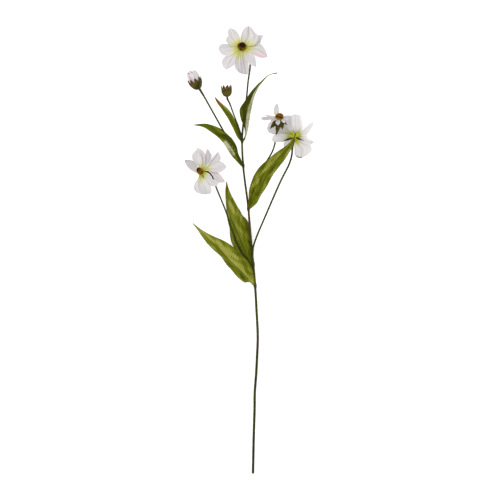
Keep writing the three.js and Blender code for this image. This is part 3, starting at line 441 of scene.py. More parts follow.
def dome_point(share, angle, radius, height, fullness, axis):
    """A place on the eye's dome and its outward direction; share runs from the top to the rim. A
    fuller dome has a flatter top and steeper sides."""
    slope = share * np.pi / 2
    out = around(angle, *across_frame(axis))
    rise = DOME_RIM_LEVEL + DOME_CROWN * np.cos(slope) ** fullness
    outward = unit(np.sin(slope) / radius * out + np.cos(slope) / (DOME_CROWN * height) * axis)
    return radius * np.sin(slope) ** fullness * out + height * rise * axis, outward


def bloom_eye(bloom, random):
    """A dome packed with florets, which stand taller towards the rim."""
    shape = Shape()
    radius, height = bloom["eye"]
    shadows = bloom["eye_shadows"]
    axis = bloom["axis"]
    seat = bloom["centre"] + (HUB_HALF_HEIGHT + GAP) * axis
    lean = bloom.get("eye_lean", np.zeros(3))
    line = height * axis + lean
    core = Route([seat - GAP * axis, seat + 0.5 * line, seat + DOME_SHARE * line])
    # The core shows between the florets; its shade value paints it darker there, as painted shade.
    add_rod(shape, core, lambda s: CORE_SHARE * radius * np.sqrt(1 - 0.97 * s**2.6), 36, 0.4, shade=0.25)
    angles = full_turn(FLORET_SIDES)
    levels = np.repeat([level for _, level in FLORET_PROFILE], FLORET_SIDES)
    size = (radius * DOME_SHARE, height * DOME_SHARE, bloom.get("eye_fullness", 1))
    for k in range(FLORETS):
        share = ((k + 0.5) / FLORETS) ** 0.5
        place, outward = dome_point(share, k * GOLDEN_ANGLE, *size, axis)
        place = place + lean * (place @ axis) / height
        spot = seat + place - bloom["centre"] + random.normal(0, SHADOW_SCATTER, 3)
        nearest = min(np.hypot((spot[0] - x) / wide, (spot[1] - y) / deep) for x, y, wide, deep in shadows)
        outward = unit(outward + random.normal(0, FLORET_LEAN, 3))
        width = FLORET_WIDTH * radius / FLORETS**0.5 * random.uniform(0.85, 1.1)
        tall = FLORET_HEIGHT * radius * random.uniform(0.7, 1.3) * (0.6 + 0.6 * share)
        circle = around(angles, *across_frame(outward))
        rings = [seat + place + wide * width * circle + up * tall * outward for wide, up in FLORET_PROFILE]
        add_rings(shape, rings, along=share, across=levels, seed=random.uniform(), shade=bump(0, 1, nearest))
    return shape


BRACT_BEND_SHARE = 0.45
BRACT_ROOT_RADIUS = 1.6
BRACT_ROOT_DEPTH = 1.8
BRACT_ROOT_WIDTH = 0.6
BRACT_WIDEST = 0.42
BRACT_END_WIDTH = 0.02
BRACT_CUP = 0.22
BRACT_KEEL = 0.16
BRACT_CURL = 0.6


def ring_of_bracts(axis, count, length, half_width, reflex):
    """Bracts like those in the table: reach in x, y and z, half width. Reflex is in degrees."""
    out = around(full_turn(count), *across_frame(axis))
    return [(*reach, half_width) for reach in length * around(np.radians(reflex), out, -axis)]


def bract_width(u):
    """How wide a bract is at u, as a share of its greatest width."""
    opening = np.clip(u / BRACT_WIDEST, 0, 1)
    closing = np.clip((u - BRACT_WIDEST) / (1 - BRACT_WIDEST), 0, 1)
    wide = BRACT_ROOT_WIDTH + (1 - BRACT_ROOT_WIDTH) * np.sin(np.pi / 2 * opening)
    narrow = BRACT_END_WIDTH + (1 - BRACT_END_WIDTH) * np.cos(np.pi / 2 * closing) ** 1.25
    return np.where(u < BRACT_WIDEST, wide, narrow)


def bract_surface(root, tip, axis, half_width, random):
    """The middle surface of a bract, bent between root and tip, with a keel and a curled end."""
    control = root + BRACT_BEND_SHARE * (tip - root)
    curl = random.uniform(-BRACT_CURL, BRACT_CURL)

    def surface(u, v):
        t = u[..., None]
        place = (1 - t) ** 2 * root + 2 * t * (1 - t) * control + t**2 * tip
        tangent = unit(2 * (1 - t) * (control - root) + 2 * t * (tip - control))
        side = unit(np.cross(tangent, axis))
        half = half_width * bract_width(u)
        height = BRACT_CUP * half * v**2 - BRACT_KEEL * half_width * bump(0, 0.16, v) + curl * u**3
        return place + side * (v * half)[..., None] + np.cross(side, tangent) * height[..., None]

    return surface


def bloom_calyx(bloom, random):
    """The green funnel that a bloom's stalk widens into, with its ring of bracts."""
    shape = Shape()
    axis = bloom["axis"]
    seat = bloom["centre"] - (HUB_HALF_HEIGHT + GAP) * axis
    line = Route([seat - CALYX_HEIGHT * axis, seat - CALYX_HEIGHT / 2 * axis, seat + GAP * axis])
    bend = np.polyfit((0, 0.5, 1), (1.5, 0.55 * bloom["hub_radius"], 0.95 * bloom["hub_radius"]), 2)
    rows = bloom.get("bracts") or ring_of_bracts(axis, *bloom["bract_ring"])
    olive = bloom.get("olive_bracts", len(rows))
    add_rod(shape, line, lambda s: np.polyval(bend, s), 40, 0.3, ribs=0.04, green=float(olive < len(rows)))
    for order, (*reach, half_width) in enumerate(rows):
        reach = vec(*reach)
        root = seat + BRACT_ROOT_RADIUS * flattened(reach, axis) - BRACT_ROOT_DEPTH * axis
        surface = bract_surface(root, seat + reach, axis, half_width, random)
        green = float(order >= olive)
        add_blade(shape, surface, 18, 8, 0.6, edge_share=0.4, seed=random.uniform(), green=green)
    return shape


# Buds

BUDS = {
    "white": dict(
        base=vec(-79.2, 252.4, 19.4), axis=unit(vec(-0.4, 0.9, 0.14)), stalk_shift=vec(1, 1.2, 0.2),
        stalk_axis=unit(vec(-0.5, 0.86, 0.1)), radius=10.8, mouth=0.96, cup_height=19.6, teeth=9,
        tooth_depth=0.4, crown_height=32, petals=7, wrap=36,
    ),
    "green": dict(
        base=vec(-34.6, 240.4, 28.2), axis=unit(vec(-0.08, 0.98, 0.12)), radius=8.2, mouth=1.0,
        cup_height=19, teeth=9, tooth_depth=0.3, crown_height=17.4, petals=5, wrap=46,
    ),
}
BUD_WAIST = 0.52
CUP_WALL = 0.9
CUP_FLOOR = 3
CUP_BROWNING = 0.09
CUP_RIBS = 0.035
SECTORS_PER_TOOTH = 12
TOOTH_POWER = 1.7
TOOTH_FLARE = 0.5
BUD_OVERLAP = 0.06
BUD_STEP = 0.5
BUD_TIP_CLOSING = 3


def bud_radius(bud, level):
    """A bud's outer radius at a level: a round foot, a full waist, a mouth drawn in a little."""
    share = level / max(bud["cup_height"], bud["crown_height"])
    foot = np.sqrt(np.clip(1 - ((BUD_WAIST - share) / BUD_WAIST) ** 2, 0, 1))
    above = np.clip((share - BUD_WAIST) / (1 - BUD_WAIST), 0, None)
    return bud["radius"] * np.where(share < BUD_WAIST, foot, 1 + (bud["mouth"] - 1) * above**2)


def bud_cup(bud, random):
    """The toothed green cup: outer wall up to the teeth, inner wall down to the floor."""
    shape = Shape()
    teeth, height, depth = bud["teeth"], bud["cup_height"], bud["tooth_depth"]
    sectors = teeth * SECTORS_PER_TOOTH
    out = around(full_turn(sectors), *across_frame(bud["axis"]))
    from_tip = 1 - np.abs(2 * (np.arange(sectors) % SECTORS_PER_TOOTH) / SECTORS_PER_TOOTH - 1)
    uneven = np.repeat(random.uniform(-0.05, 0.05, teeth), SECTORS_PER_TOOTH)
    walls = [(share, 0.0) for share in np.linspace(0.03, 1, 22)]
    walls += [(share, CUP_WALL) for share in np.linspace(0.97, CUP_FLOOR / height, 14)]
    rings = []
    along = []
    for share, inset in walls:
        up = share * (1 - (depth * from_tip**TOOTH_POWER + uneven * (1 - from_tip)) * share)
        ribs = 1 + CUP_RIBS * np.cos(2 * np.pi * from_tip) * (inset == 0) * share
        radius = bud_radius(bud, up * height) * ribs - inset * (1 - 0.55 * share)
        radius = radius + TOOTH_FLARE * (1 - from_tip) * smooth(0.75, 1, share)
        rings.append(bud["base"] + radius[:, None] * out + (up * height)[:, None] * bud["axis"])
        along.append(up + CUP_BROWNING)
    add_rings(shape, rings, along=np.concatenate(along), across=np.tile(from_tip, len(rings)))
    return shape


def bud_petal_surface(bud, angle, order):
    """One closed petal, which overlaps the next like a tile."""
    first, second = across_frame(bud["axis"])
    foot = CUP_FLOOR + GAP
    height = bud["crown_height"]
    wrap = np.radians(bud["wrap"])

    def surface(u, v):
        level = foot + (height - foot) * u * (1 - 0.2 * np.abs(v) ** 2.2 * u**2)
        turn = angle + wrap * v * (0.75 + 0.4 * u - 0.25 * u**4)
        radius = bud_radius(bud, level) - CUP_WALL - 2 * GAP
        radius = radius * (1 + BUD_OVERLAP * v * u) - BUD_STEP * order - 0.5 * bump(0, 0.12, v) * u
        radius = np.maximum(radius, 0.5) - BUD_TIP_CLOSING * smooth(0.75, 1.08, u)
        return bud["base"] + radius[..., None] * around(turn, first, second) + level[..., None] * bud["axis"]

    return surface


def bud_crown(bud, random):
    shape = Shape()
    count = bud["petals"]
    for k in range(count):
        # The shade value paints each petal's margins darker, as painted shade in the slits where the petals
        # overlap.
        add_blade(
            shape, bud_petal_surface(bud, 2 * np.pi * k / count, k % 2), 30, 18, 0.45, edge_share=0.5,
            seed=random.uniform(), pink=0.85 * (-1) ** k, green=0.25,
            shade=lambda u, v: 1.3 * smooth(0.66, 1, np.abs(v)),
        )
    return shape


# Stem

STEM_POINTS = [
    (5.8, -351.2, 1.35), (6.9, -296.6, 1.35), (8.3, -248.5, 1.35), (8.6, -224.5, 1.8), (10.8, -194.4, 2.6),
    (12.2, -167.2, 3.5), (13.3, -136, 4.6), (11.6, -98.6, 6.3), (9.4, -60.3, 8.3), (6.6, -26, 10.2),
    (4.4, -3.1, 11.8), (0.8, 37.8, 14.5), (-1.6, 67.8, 16.5), (-7.1, 109.9, 18.8), (-9.6, 133, 20),
    (-11.3, 169.4, 21.6), (-9.6, 196.7, 21.5), (-4.4, 238.5, 21), (-1.7, 265.8, 20.4), (1.4, 290, 18.6),
    (0.4, 302, 16.6), (-4, 308.6, 15.9),
]
STALKS = {
    "left": [
        (6.2, -30, 10), (-0.5, -17.4, 12.3), (-13, -1.9, 14.6), (-25, 25.7, 17.5), (-37.1, 61.9, 19),
        (-52.4, 100, 18), (-57, 113.4, 16.2), (-61.2, 120.2, 15.6), (-66.5, 123.6, 15.4),
    ],
    "back": [
        (5.2, -12, 11), (6.1, 4.2, 13), (11, 19.8, 15), (26.7, 57, 19.5), (49.9, 109.9, 25.5),
        (63.2, 136.7, 29.5), (66.8, 150, 33.5), (67.6, 161, 37.2),
    ],
    "young": [
        (-1.2, 62, 16), (3.4, 84, 17.5), (13.3, 113, 19.5), (27.2, 139.4, 21), (36.4, 155.4, 23),
        (40.8, 170, 25.5), (42.2, 181, 29.5), (44.5, 191.5, 36.5),
    ],
    "white": [
        (-9.4, 130, 19.8), (-18, 148, 19.6), (-40, 186.4, 19.2), (-56, 214.9, 19.6), (-69.8, 239.6, 19),
    ],
    "green": [(-11.2, 168, 21.5), (-14.9, 187.6, 24.5), (-23.2, 209.8, 27.2), (-30.6, 230, 27.6)],
}
STEM_FOOT_RADIUS = 1.95
STEM_TOP_RADIUS = 1.2
STEM_TAPER_START = 0.4
STALK_RADII = {"left": 1.25, "back": 1.5, "young": 1.3, "white": 1.4, "green": 1.1}
STALK_BLUSHES = {"left": 1, "young": 0.6, "green": 0.6}
STALK_FLARE = 0.5
STALK_FLARE_LENGTH = 20
KNOTS = [(8.9, -55, 8.5), (6.2, -22, 10.4), (-1.5, 66, 16.4), (-9.6, 133, 20), (-11.3, 171, 21.7)]
KNOT_SWELL = 0.8
KNOT_HALF_LENGTH = 3.2
PURPLE_REACHES = ((62, 31, 1.5), (-149, 16, 0.4))
DARK_FOOT = (-230, -330)
SHEATH = dict(root=vec(-11.2, 171, 22), tip=vec(-15.1, 190.5, 26.1), half_width=2.2)
UP = vec(0, 0, 1)


def stem_routes():
    """The lines of the main stem and of its stalks, by what they bear. Each ends along the axis of
    what it bears, and runs on a little into it."""
    ends = {name: (b["centre"] - STALK_END * b["axis"], b["axis"]) for name, b in BLOOMS.items()}
    for name, bud in BUDS.items():
        place = bud["base"] - GAP * bud["axis"] + bud.get("stalk_shift", 0)
        ends[name] = (place, bud.get("stalk_axis", bud["axis"]))
    routes = {}
    for name, points in {"top": STEM_POINTS, **STALKS}.items():
        place, axis = ends[name]
        routes[name] = Route([*points, place - STALK_LEAD * axis, place + 2 * GAP * axis])
    return routes


def stem_shape(routes, random):
    shape = Shape()
    main = routes["top"]
    knots = [main.shares[np.argmin(np.linalg.norm(main.line - place, axis=1))] for place in KNOTS]

    def main_radius(shares):
        swell = sum(bump(knot, KNOT_HALF_LENGTH / main.length, shares) for knot in knots)
        taper = np.clip((shares - STEM_TAPER_START) / (1 - STEM_TAPER_START), 0, 1)
        return STEM_FOOT_RADIUS + (STEM_TOP_RADIUS - STEM_FOOT_RADIUS) * taper + KNOT_SWELL * swell

    add_rod(shape, main, main_radius, 20, 2.0, ribs=0.05)
    height = shape.points[0][:, 1]
    shape.put("pink", sum(amount * bump(middle, half, height) for middle, half, amount in PURPLE_REACHES))
    shape.put("shade", smooth(*DARK_FOOT, height))
    for name, radius in STALK_RADII.items():
        flare = STALK_FLARE_LENGTH / routes[name].length
        add_rod(
            shape, routes[name], lambda s: radius + STALK_FLARE * smooth(1 - flare, 1, s), 14, 2.0, ribs=0.04
        )
        shape.put("pink", STALK_BLUSHES.get(name, 0) * smooth(0.6, 0.95, shape.values[-1][:, 0]))
    surface = bract_surface(SHEATH["root"], SHEATH["tip"], UP, SHEATH["half_width"], random)
    add_blade(shape, surface, 20, 8, 0.7, edge_share=0.4)
    shape.keep_above_floor()
    return shape


# Leaves

LEAVES = {
    "lower_left": dict(
        points=[
            (8.6, -56, 8.7), (1, -48, 12.6), (-11.3, -35, 17.5), (-31, -16, 19), (-48.2, 3.3, 17.4),
            (-61.9, 15.8, 14), (-75.6, 29.3, 9.6), (-89.3, 43, 4.5),
        ],
        left=(1.3, 7.6, 10.4, 8.8, 7.8, 6, 7.6, 6.8, 4.9, 2.2, 0.4), left_opening=(0.065, 0.12),
        right=(1.3, 10.5, 18, 20.6, 21, 18.8, 14.4, 9.8, 5.6, 2.2, 0.5), fold=10, roll=(4, -10), tone=0.55,
        brown_tip=(0.3, 0.9, 1),
        tones=[
            (0.5, 0.3, 0.35, 0.32, 0.7), (0.25, 0.12, 0.2, 0.15, 0.6), (0.2, -0.6, 0.3, 0.5, -0.3),
            (0.12, 0.85, 0.25, 0.4, -0.3), (0.45, -0.3, 0.3, 0.25, -0.5), (0.85, 0, 0.2, 1.5, 0.5),
            (0.07, 0, 0.04, 1, 0.8),
        ],
    ),
    "middle_left": dict(
        points=[
            (6, -23, 10.4), (-0.5, -15, 9.4), (-10.5, 6.8, 8.4), (-17.6, 24.5, 8.8), (-22.9, 36, 9.6),
            (-28.2, 47.5, 10.4), (-32.6, 67, 11.4), (-35.3, 86.5, 12.6), (-35.6, 108, 14),
        ],
        left=(1.3, 7, 11, 14, 12.5, 7.5, 5.2, 3.7, 2.5, 1.9, 0.4),
        right=(
            1.3, 4.2, 7, 9.2, 11.4, 14, 16.4, 18, 20.2, 23.8, 22.5, 20.2, 18.7, 17.1, 15, 12.8, 10.2, 7.4,
            4.6, 2.1, 0.5,
        ),
        fold=8, roll=(0, -10), tone=0.4, brown_tip=(0.6, 0.88, 0.97),
        tones=[
            (0.1, 0.4, 0.16, 0.9, -0.4), (0.3, 0.85, 0.3, 0.3, -0.4), (0.33, 0.3, 0.16, 0.2, 0.5),
            (0.25, -0.6, 0.25, 0.5, 0.1), (0.42, 0.75, 0.06, 0.2, -0.6), (0.7, 0.2, 0.22, 1.2, 0.45),
        ],
    ),
    "right": dict(
        points=[
            (-1.3, 64, 16.4), (6.5, 79.2, 21), (12.5, 90.3, 25), (21, 104, 29.5), (29.6, 121.5, 34),
            (39.7, 136.6, 39), (55.8, 155.7, 44.5), (66, 168.5, 46), (73.6, 184.6, 45),
        ],
        left=(1.2, 7, 13.5, 17.4, 18.4, 16.2, 11.8, 9, 4.8, 2.1, 0.4),
        right=(1.2, 7, 7.3, 7.6, 7.9, 8.8, 9.3, 8.9, 6.6, 3.6, 0.4), fold=12, roll=(-4, 8), tone=0.45,
        brown_tip=(0, 0.9, 1),
        tones=[
            (0.35, -0.5, 0.3, 0.5, 0.15), (0.1, 0, 0.05, 1, -0.4), (0.45, 0.3, 0.3, 0.25, -0.7),
            (0.68, -0.3, 0.14, 0.3, 0.8), (0.75, 0.75, 0.12, 0.3, 0.5), (0.8, 0.25, 0.15, 0.25, -0.5),
            (0.2, -0.3, 0.03, 0.6, -0.6), (0.95, 0, 0.08, 1, 0.5),
        ],
    ),
    "upper_left": dict(
        points=[
            (-9.6, 131, 20), (-14.8, 138.5, 23), (-20, 147.5, 25.5), (-28.4, 161.6, 28), (-40.4, 176.8, 28),
            (-56, 188, 25.5), (-71, 195.2, 20), (-88, 197, 13.5),
        ],
        left=(1.2, 3.6, 5.8, 7, 6.5, 6, 5, 4.1, 2.9, 1.5, 0.4),
        right=(1.2, 3.8, 4.6, 8.1, 9.5, 8.6, 8.4, 7.4, 5, 2.6, 0.4), fold=14, roll=(10, -12), tone=0.05,
        brown_tip=(0.2, 0.9, 1),
        tones=[
            (0.1, 0.3, 0.12, 0.8, -0.2), (0.35, 0.6, 0.2, 0.5, -0.4), (0.6, -0.4, 0.25, 0.5, -0.3),
            (0.62, 0.6, 0.3, 0.4, -0.3), (0.35, 0, 0.1, 0.3, 0.5),
        ],
        pale=((0.2, 0.23), (0.47, 0.44), (0.05, -0.05)),
    ),
    "top_left": dict(
        points=[
            (-11.2, 170, 21.6), (-16.6, 181.2, 20.6), (-22.5, 195, 20.2), (-29.8, 209.4, 20),
            (-39, 222.6, 18.8), (-47.5, 231.5, 17.4), (-53.8, 240.4, 16),
        ],
        left=(0.9, 3.2, 3.9, 4.1, 4.4, 4.6, 4.6, 4, 3.2, 2.3, 0.8),
        right=(0.9, 3.2, 3.9, 4.2, 4.4, 4.5, 4.4, 3.8, 3, 2, 0.6), fold=14, roll=(-6, 6), tone=0.3,
        brown_tip=(0.95, 0.74, 0.82),
        tones=[(0.2, 0.5, 0.25, 0.6, -0.5), (0.5, 0.6, 0.3, 0.3, 0.6), (0.5, -0.6, 0.35, 0.4, -0.4)],
    ),
    "top_right": dict(
        points=[
            (-11.2, 170, 21.6), (-5.6, 178.2, 24.4), (-2.8, 187.4, 26.8), (0, 203.2, 29.6), (2.6, 218, 31),
            (8.2, 241.5, 31.4), (17.8, 260.7, 29.4), (30.1, 274.4, 25), (44.2, 278.6, 20),
        ],
        left=(1, 2.2, 7, 14.6, 18, 12.6, 8.2, 4.4, 1.4, 0.7, 1.1),
        right=(1, 2.4, 4.6, 6.8, 6.2, 4.7, 3.4, 1.6, 0.7, 0.5, 1.1), fold=10, turned_over=152, roll=(0, 0),
        tone=0.0, brown_tip=(1, 0.92, 0.95),
        tones=[
            (0.3, -0.8, 0.25, 0.6, -0.8), (0.25, -0.1, 0.25, 0.3, 0.1), (0.62, -0.5, 0.14, 0.8, -0.5),
            (0.92, 0, 0.1, 2, 1.8), (0.08, -0.6, 0.06, 0.6, -0.9),
        ],
    ),
}
# Painted shadow on the leaves beside the stem and stalks: how dark it is, and how far it reaches in
# millimetres.
STALK_SHADOW_DEPTH = 0.9
STALK_SHADOW_REACH = 1.7
LEAF_GRID = (160, 40)
LEAF_THICKNESS = 0.6
PETIOLE_THICKNESS = 2.0
TURN_START = (0.02, 0.12)
TURN_END = (0.68, 0.86)
VEIN_SPACING = 4.6
VEIN_SLANT = 0.6
VEIN_HEIGHT = 0.5
WRINKLES = 5
WRINKLE_HEIGHT = 0.22
WAVE_HEIGHT = 0.07
WAVE_PITCH = 2 * np.pi * 2.5
RUFFLE_HEIGHT = 0.035
RUFFLE_PITCH = 2 * np.pi * 8
MIDRIB_DEPTH = 0.45
MIDRIB_HALF_WIDTH = 0.7


def half_width_line(numbers):
    """A smooth line through evenly spaced half widths, as a function of the share of length."""
    shares = np.linspace(0, 1, len(numbers))
    line = Route([vec(100 * share, number, 0) for share, number in zip(shares, numbers)]).line
    return lambda u: np.interp(u, line[:, 0] / 100, line[:, 1])


def leaf_surface(leaf, random):
    """The middle surface of a leaf: folded at its midrib, with slanting veins, wrinkles and a waved
    margin; and the height of its veins and wrinkles. One leaf's right half is turned over, so that
    its back shows."""
    route = Route(leaf["points"])
    left_line = half_width_line(leaf["left"])
    right = half_width_line(leaf["right"])
    opening = leaf.get("left_opening", (-0.1, 0))

    def half_width(u, v):
        left = leaf["left"][0] + (left_line(u) - leaf["left"][0]) * smooth(*opening, u)
        return np.where(v < 0, left, right(u))

    phases = random.uniform(0, 2 * np.pi, 3)
    headings = random.uniform(1.15, 2.0, WRINKLES)
    wavelengths = random.uniform(7, 17, WRINKLES)
    starts = random.uniform(0, 2 * np.pi, WRINKLES)

    def relief(u, v):
        half = half_width(u, v)
        lengthwise = u * route.length
        sideways = v * half
        vein_phase = 2 * np.pi * (lengthwise - VEIN_SLANT * np.abs(v) * half) / VEIN_SPACING + phases[1]
        vein_phase = vein_phase + 1.6 * np.sin(lengthwise / 7 + phases[2]) + 0.9 * np.sign(v)
        height = VEIN_HEIGHT * (np.abs(np.sin(vein_phase / 2)) - 0.6) * (1 - smooth(0.75, 1, np.abs(v)))
        bend = 0.8 * np.sin(lengthwise / 9 + phases[0]) + 0.5 * np.sin(lengthwise / 4 + phases[2])
        for heading, wavelength, start in zip(headings, wavelengths, starts):
            crossing = lengthwise * np.cos(heading) + sideways * np.sin(heading)
            height += WRINKLE_HEIGHT * np.sin(2 * np.pi * crossing / wavelength + start + bend)
        return height * smooth(0.02, 0.3, np.abs(v)) * smooth(0.06, 0.2, u) * np.minimum(1, half / 6)

    def surface(u, v):
        tangent = route.tangent(u)
        roll = np.radians(leaf["roll"][0] + (leaf["roll"][1] - leaf["roll"][0]) * u)
        level = unit(np.cross(tangent, UP))
        side = around(roll, level, np.cross(tangent, level))
        normal = np.cross(side, tangent)
        half = half_width(u, v)
        reach = np.abs(v) * half
        turn = smooth(*TURN_START, u) * (1 - smooth(*TURN_END, u)) * (v > 0)
        slope = np.radians(leaf["fold"] + (leaf.get("turned_over", leaf["fold"]) - leaf["fold"]) * turn)
        wave = WAVE_HEIGHT * v**2 * np.sin(WAVE_PITCH * u + 2.0 * (v > 0))
        ruffle = RUFFLE_HEIGHT * v**4 * np.sin(RUFFLE_PITCH * u + phases[0] + 2 * np.sign(v))
        height = half * (wave + ruffle) + relief(u, v)
        height -= MIDRIB_DEPTH * bump(0, MIDRIB_HALF_WIDTH, reach) * smooth(0.1, 0.3, u)
        outside = np.sign(v)[..., None] * side
        outward = around(slope, outside, normal)
        face = around(slope, normal, -outside)
        return route.at(u) + outward * reach[..., None] + face * height[..., None]

    return surface, relief


def leaf_tone(leaf, surface, stem_line):
    """How light a leaf is at u and v: soft spots (u, v, half length, half width, amount), which are partly
    the leaf's own mottling and partly painted light and shade, and a painted shadow beside the stem and
    stalks that it touches."""

    def tone(u, v):
        spots = (amount * bump(x, long, u) * bump(y, wide, v) for x, y, long, wide, amount in leaf["tones"])
        near = [np.min(np.linalg.norm(stem_line - row[:, None, :2], axis=2), axis=1) for row in surface(u, v)]
        return leaf["tone"] + sum(spots) - STALK_SHADOW_DEPTH * bump(0, STALK_SHADOW_REACH, np.array(near))

    return tone


def leaf_shape(leaf, stem_line, random):
    shape = Shape()
    rows = np.linspace(0, 1, LEAF_GRID[0] + 1)[:, None]
    thickness = LEAF_THICKNESS + (PETIOLE_THICKNESS - LEAF_THICKNESS) * (1 - smooth(0, 0.08, rows))
    surface, relief = leaf_surface(leaf, random)
    brown, *reach = leaf["brown_tip"]
    add_blade(
        shape, surface, *LEAF_GRID, thickness, edge_share=0.4, pale=leaf.get("pale", PALE_NOWHERE),
        seed=random.uniform(), shade=leaf_tone(leaf, surface, stem_line), relief=relief,
        pink=lambda u, v: brown * smooth(*reach, u + 0.03 * np.sin(7 * v)),
    )
    return shape


# Materials


def colour(red, green, blue):
    """A screen colour, 0 to 255, as the linear colour that a shader takes."""
    screen = np.array([red, green, blue]) / 255
    linear = np.where(screen <= 0.04045, screen / 12.92, ((screen + 0.055) / 1.055) ** 2.4)
    return (*linear.tolist(), 1.0)


def fill(node, **inputs):
    """Sets a node's inputs. An underscore stands for a space."""
    for name, value in inputs.items():
        node.inputs[name.replace("_", " ")].default_value = value


class Paint:
    """A material's nodes, made by short calls that each give back an output. Tuples are colours."""

    def __init__(self, name, roughness, gloss):
        self.material = bpy.data.materials.new(name)
        self.material.use_nodes = True
        self.tree = self.material.node_tree
        self.shader = self.tree.nodes["Principled BSDF"]
        fill(self.shader, Roughness=roughness, Specular_IOR_Level=gloss)

    def node(self, kind, inputs, **settings):
        made = self.tree.nodes.new(kind)
        for key, value in settings.items():
            setattr(made, key, value)
        for key, value in inputs.items():
            if isinstance(value, bpy.types.NodeSocket):
                self.tree.links.new(value, made.inputs[key])
            else:
                made.inputs[key].default_value = colour(*value) if isinstance(value, tuple) else value
        return made.outputs

    def values(self, *names):
        return [self.node("ShaderNodeAttribute", {}, attribute_name=name)["Fac"] for name in names]

    def math(self, operation, first, second=0.0):
        return self.node("ShaderNodeMath", {0: first, 1: second}, operation=operation)[0]

    def times(self, first, second):
        return self.math("MULTIPLY", first, second)

    def plus(self, first, second):
        return self.math("ADD", first, second)

    def uneven(self, value, texture, amount, middle=-0.5):
        """The value, moved by a texture of which the middle counts as nothing."""
        return self.plus(value, self.times(self.plus(texture, middle), amount))

    def step(self, value, low, high, most=1.0):
        """A soft step from 0 at low to most at high. Low may be the greater."""
        inputs = {"Value": value, "From Min": low, "From Max": high}
        stepped = self.node("ShaderNodeMapRange", inputs, interpolation_type="SMOOTHSTEP")[0]
        return stepped if most == 1 else self.times(stepped, most)

    def mix(self, share, first, second):
        return self.node("ShaderNodeMix", {0: share, 6: first, 7: second}, data_type="RGBA")[2]

    def tint(self, base, value, low, high, most, tone):
        """The base with a tone over it, from none of it at low to the most at high."""
        return self.mix(self.step(value, low, high, most), base, tone)

    def noise(self, place, scale, detail=3.0):
        inputs = {"Vector": place, "Scale": scale, "Detail": detail}
        return self.node("ShaderNodeTexNoise", inputs)["Fac"]

    def grain(self, scale, detail):
        return self.noise(self.node("ShaderNodeTexCoord", {})["Object"], scale, detail)

    def streaks(self, across, along, x, y, shift, detail):
        """Noise that is stretched lengthwise."""
        inputs = {0: self.times(across, x), 1: self.times(along, y), 2: shift}
        return self.noise(self.node("ShaderNodeCombineXYZ", inputs)[0], 1.0, detail)

    def finish(self, base, height=None, distance=0.0, strength=0.0):
        self.tree.links.new(base, self.shader.inputs["Base Color"])
        if height is not None:
            inputs = {"Height": height, "Distance": distance, "Strength": strength}
            self.tree.links.new(self.node("ShaderNodeBump", inputs)[0], self.shader.inputs["Normal"])
        return self.material


def petal_paint():
    """White, with a yellow-green foot that runs out in streaks, grey veins and pink margins. Painted shade
    darkens the furrows, a thin line along the margins and petals whose shade value is above nought; a shade
    value below nought paints a petal lighter.
    """
    paint = Paint("petal", 0.7, 0.3)
    along, across, seed, pink, green, shade, relief = paint.values(
        "along", "across", "seed", "pink", "green", "shade", "relief"
    )
    shift = paint.times(seed, 40.0)
    fine = paint.streaks(across, along, 13.0, 1.1, shift, 4.0)
    broad = paint.streaks(across, along, 3.0, 1.6, shift, 3.0)
    white = paint.tint((200, 195, 195), broad, 0.35, 0.7, 1, (181, 177, 179))
    # Painted shade in the furrows and creases, where the relief is low.
    furrow_shade = paint.tint(white, relief, 0.1, -0.5, 0.35, (148, 144, 146))
    veined = paint.tint(furrow_shade, fine, 0.52, 0.74, 0.45, (152, 146, 150))
    # Painted light where a petal's shade value is below nought, as on the back bloom, and painted shade where
    # it is above.
    painted_lighter = paint.mix(paint.times(shade, -0.8), veined, (232, 230, 230))
    painted_darker = paint.mix(paint.times(shade, 0.6), painted_lighter, (126, 122, 122))
    streaked = paint.uneven(along, fine, 1.1, middle=-0.56)
    ratio = paint.math("DIVIDE", streaked, paint.math("MAXIMUM", green, 0.01))
    lime = paint.tint(painted_darker, ratio, 0.95, 0.3, 1, (184, 183, 88))
    foot = paint.tint(lime, ratio, 0.5, 0.15, 1, (152, 157, 26))
    edge = paint.step(paint.times(across, pink), 0.45, 0.95)
    patchy = paint.times(edge, paint.step(broad, 0.3, 0.55))
    blushed = paint.mix(paint.times(patchy, paint.step(along, 0.35, 0.7)), foot, (214, 160, 174))
    # Painted shade in a thin grey line along the margins.
    shaded_margin = paint.tint(blushed, paint.math("ABSOLUTE", across), 0.93, 1.0, 0.25, (160, 152, 156))
    return paint.finish(shaded_margin, fine, distance=0.0005, strength=0.35)


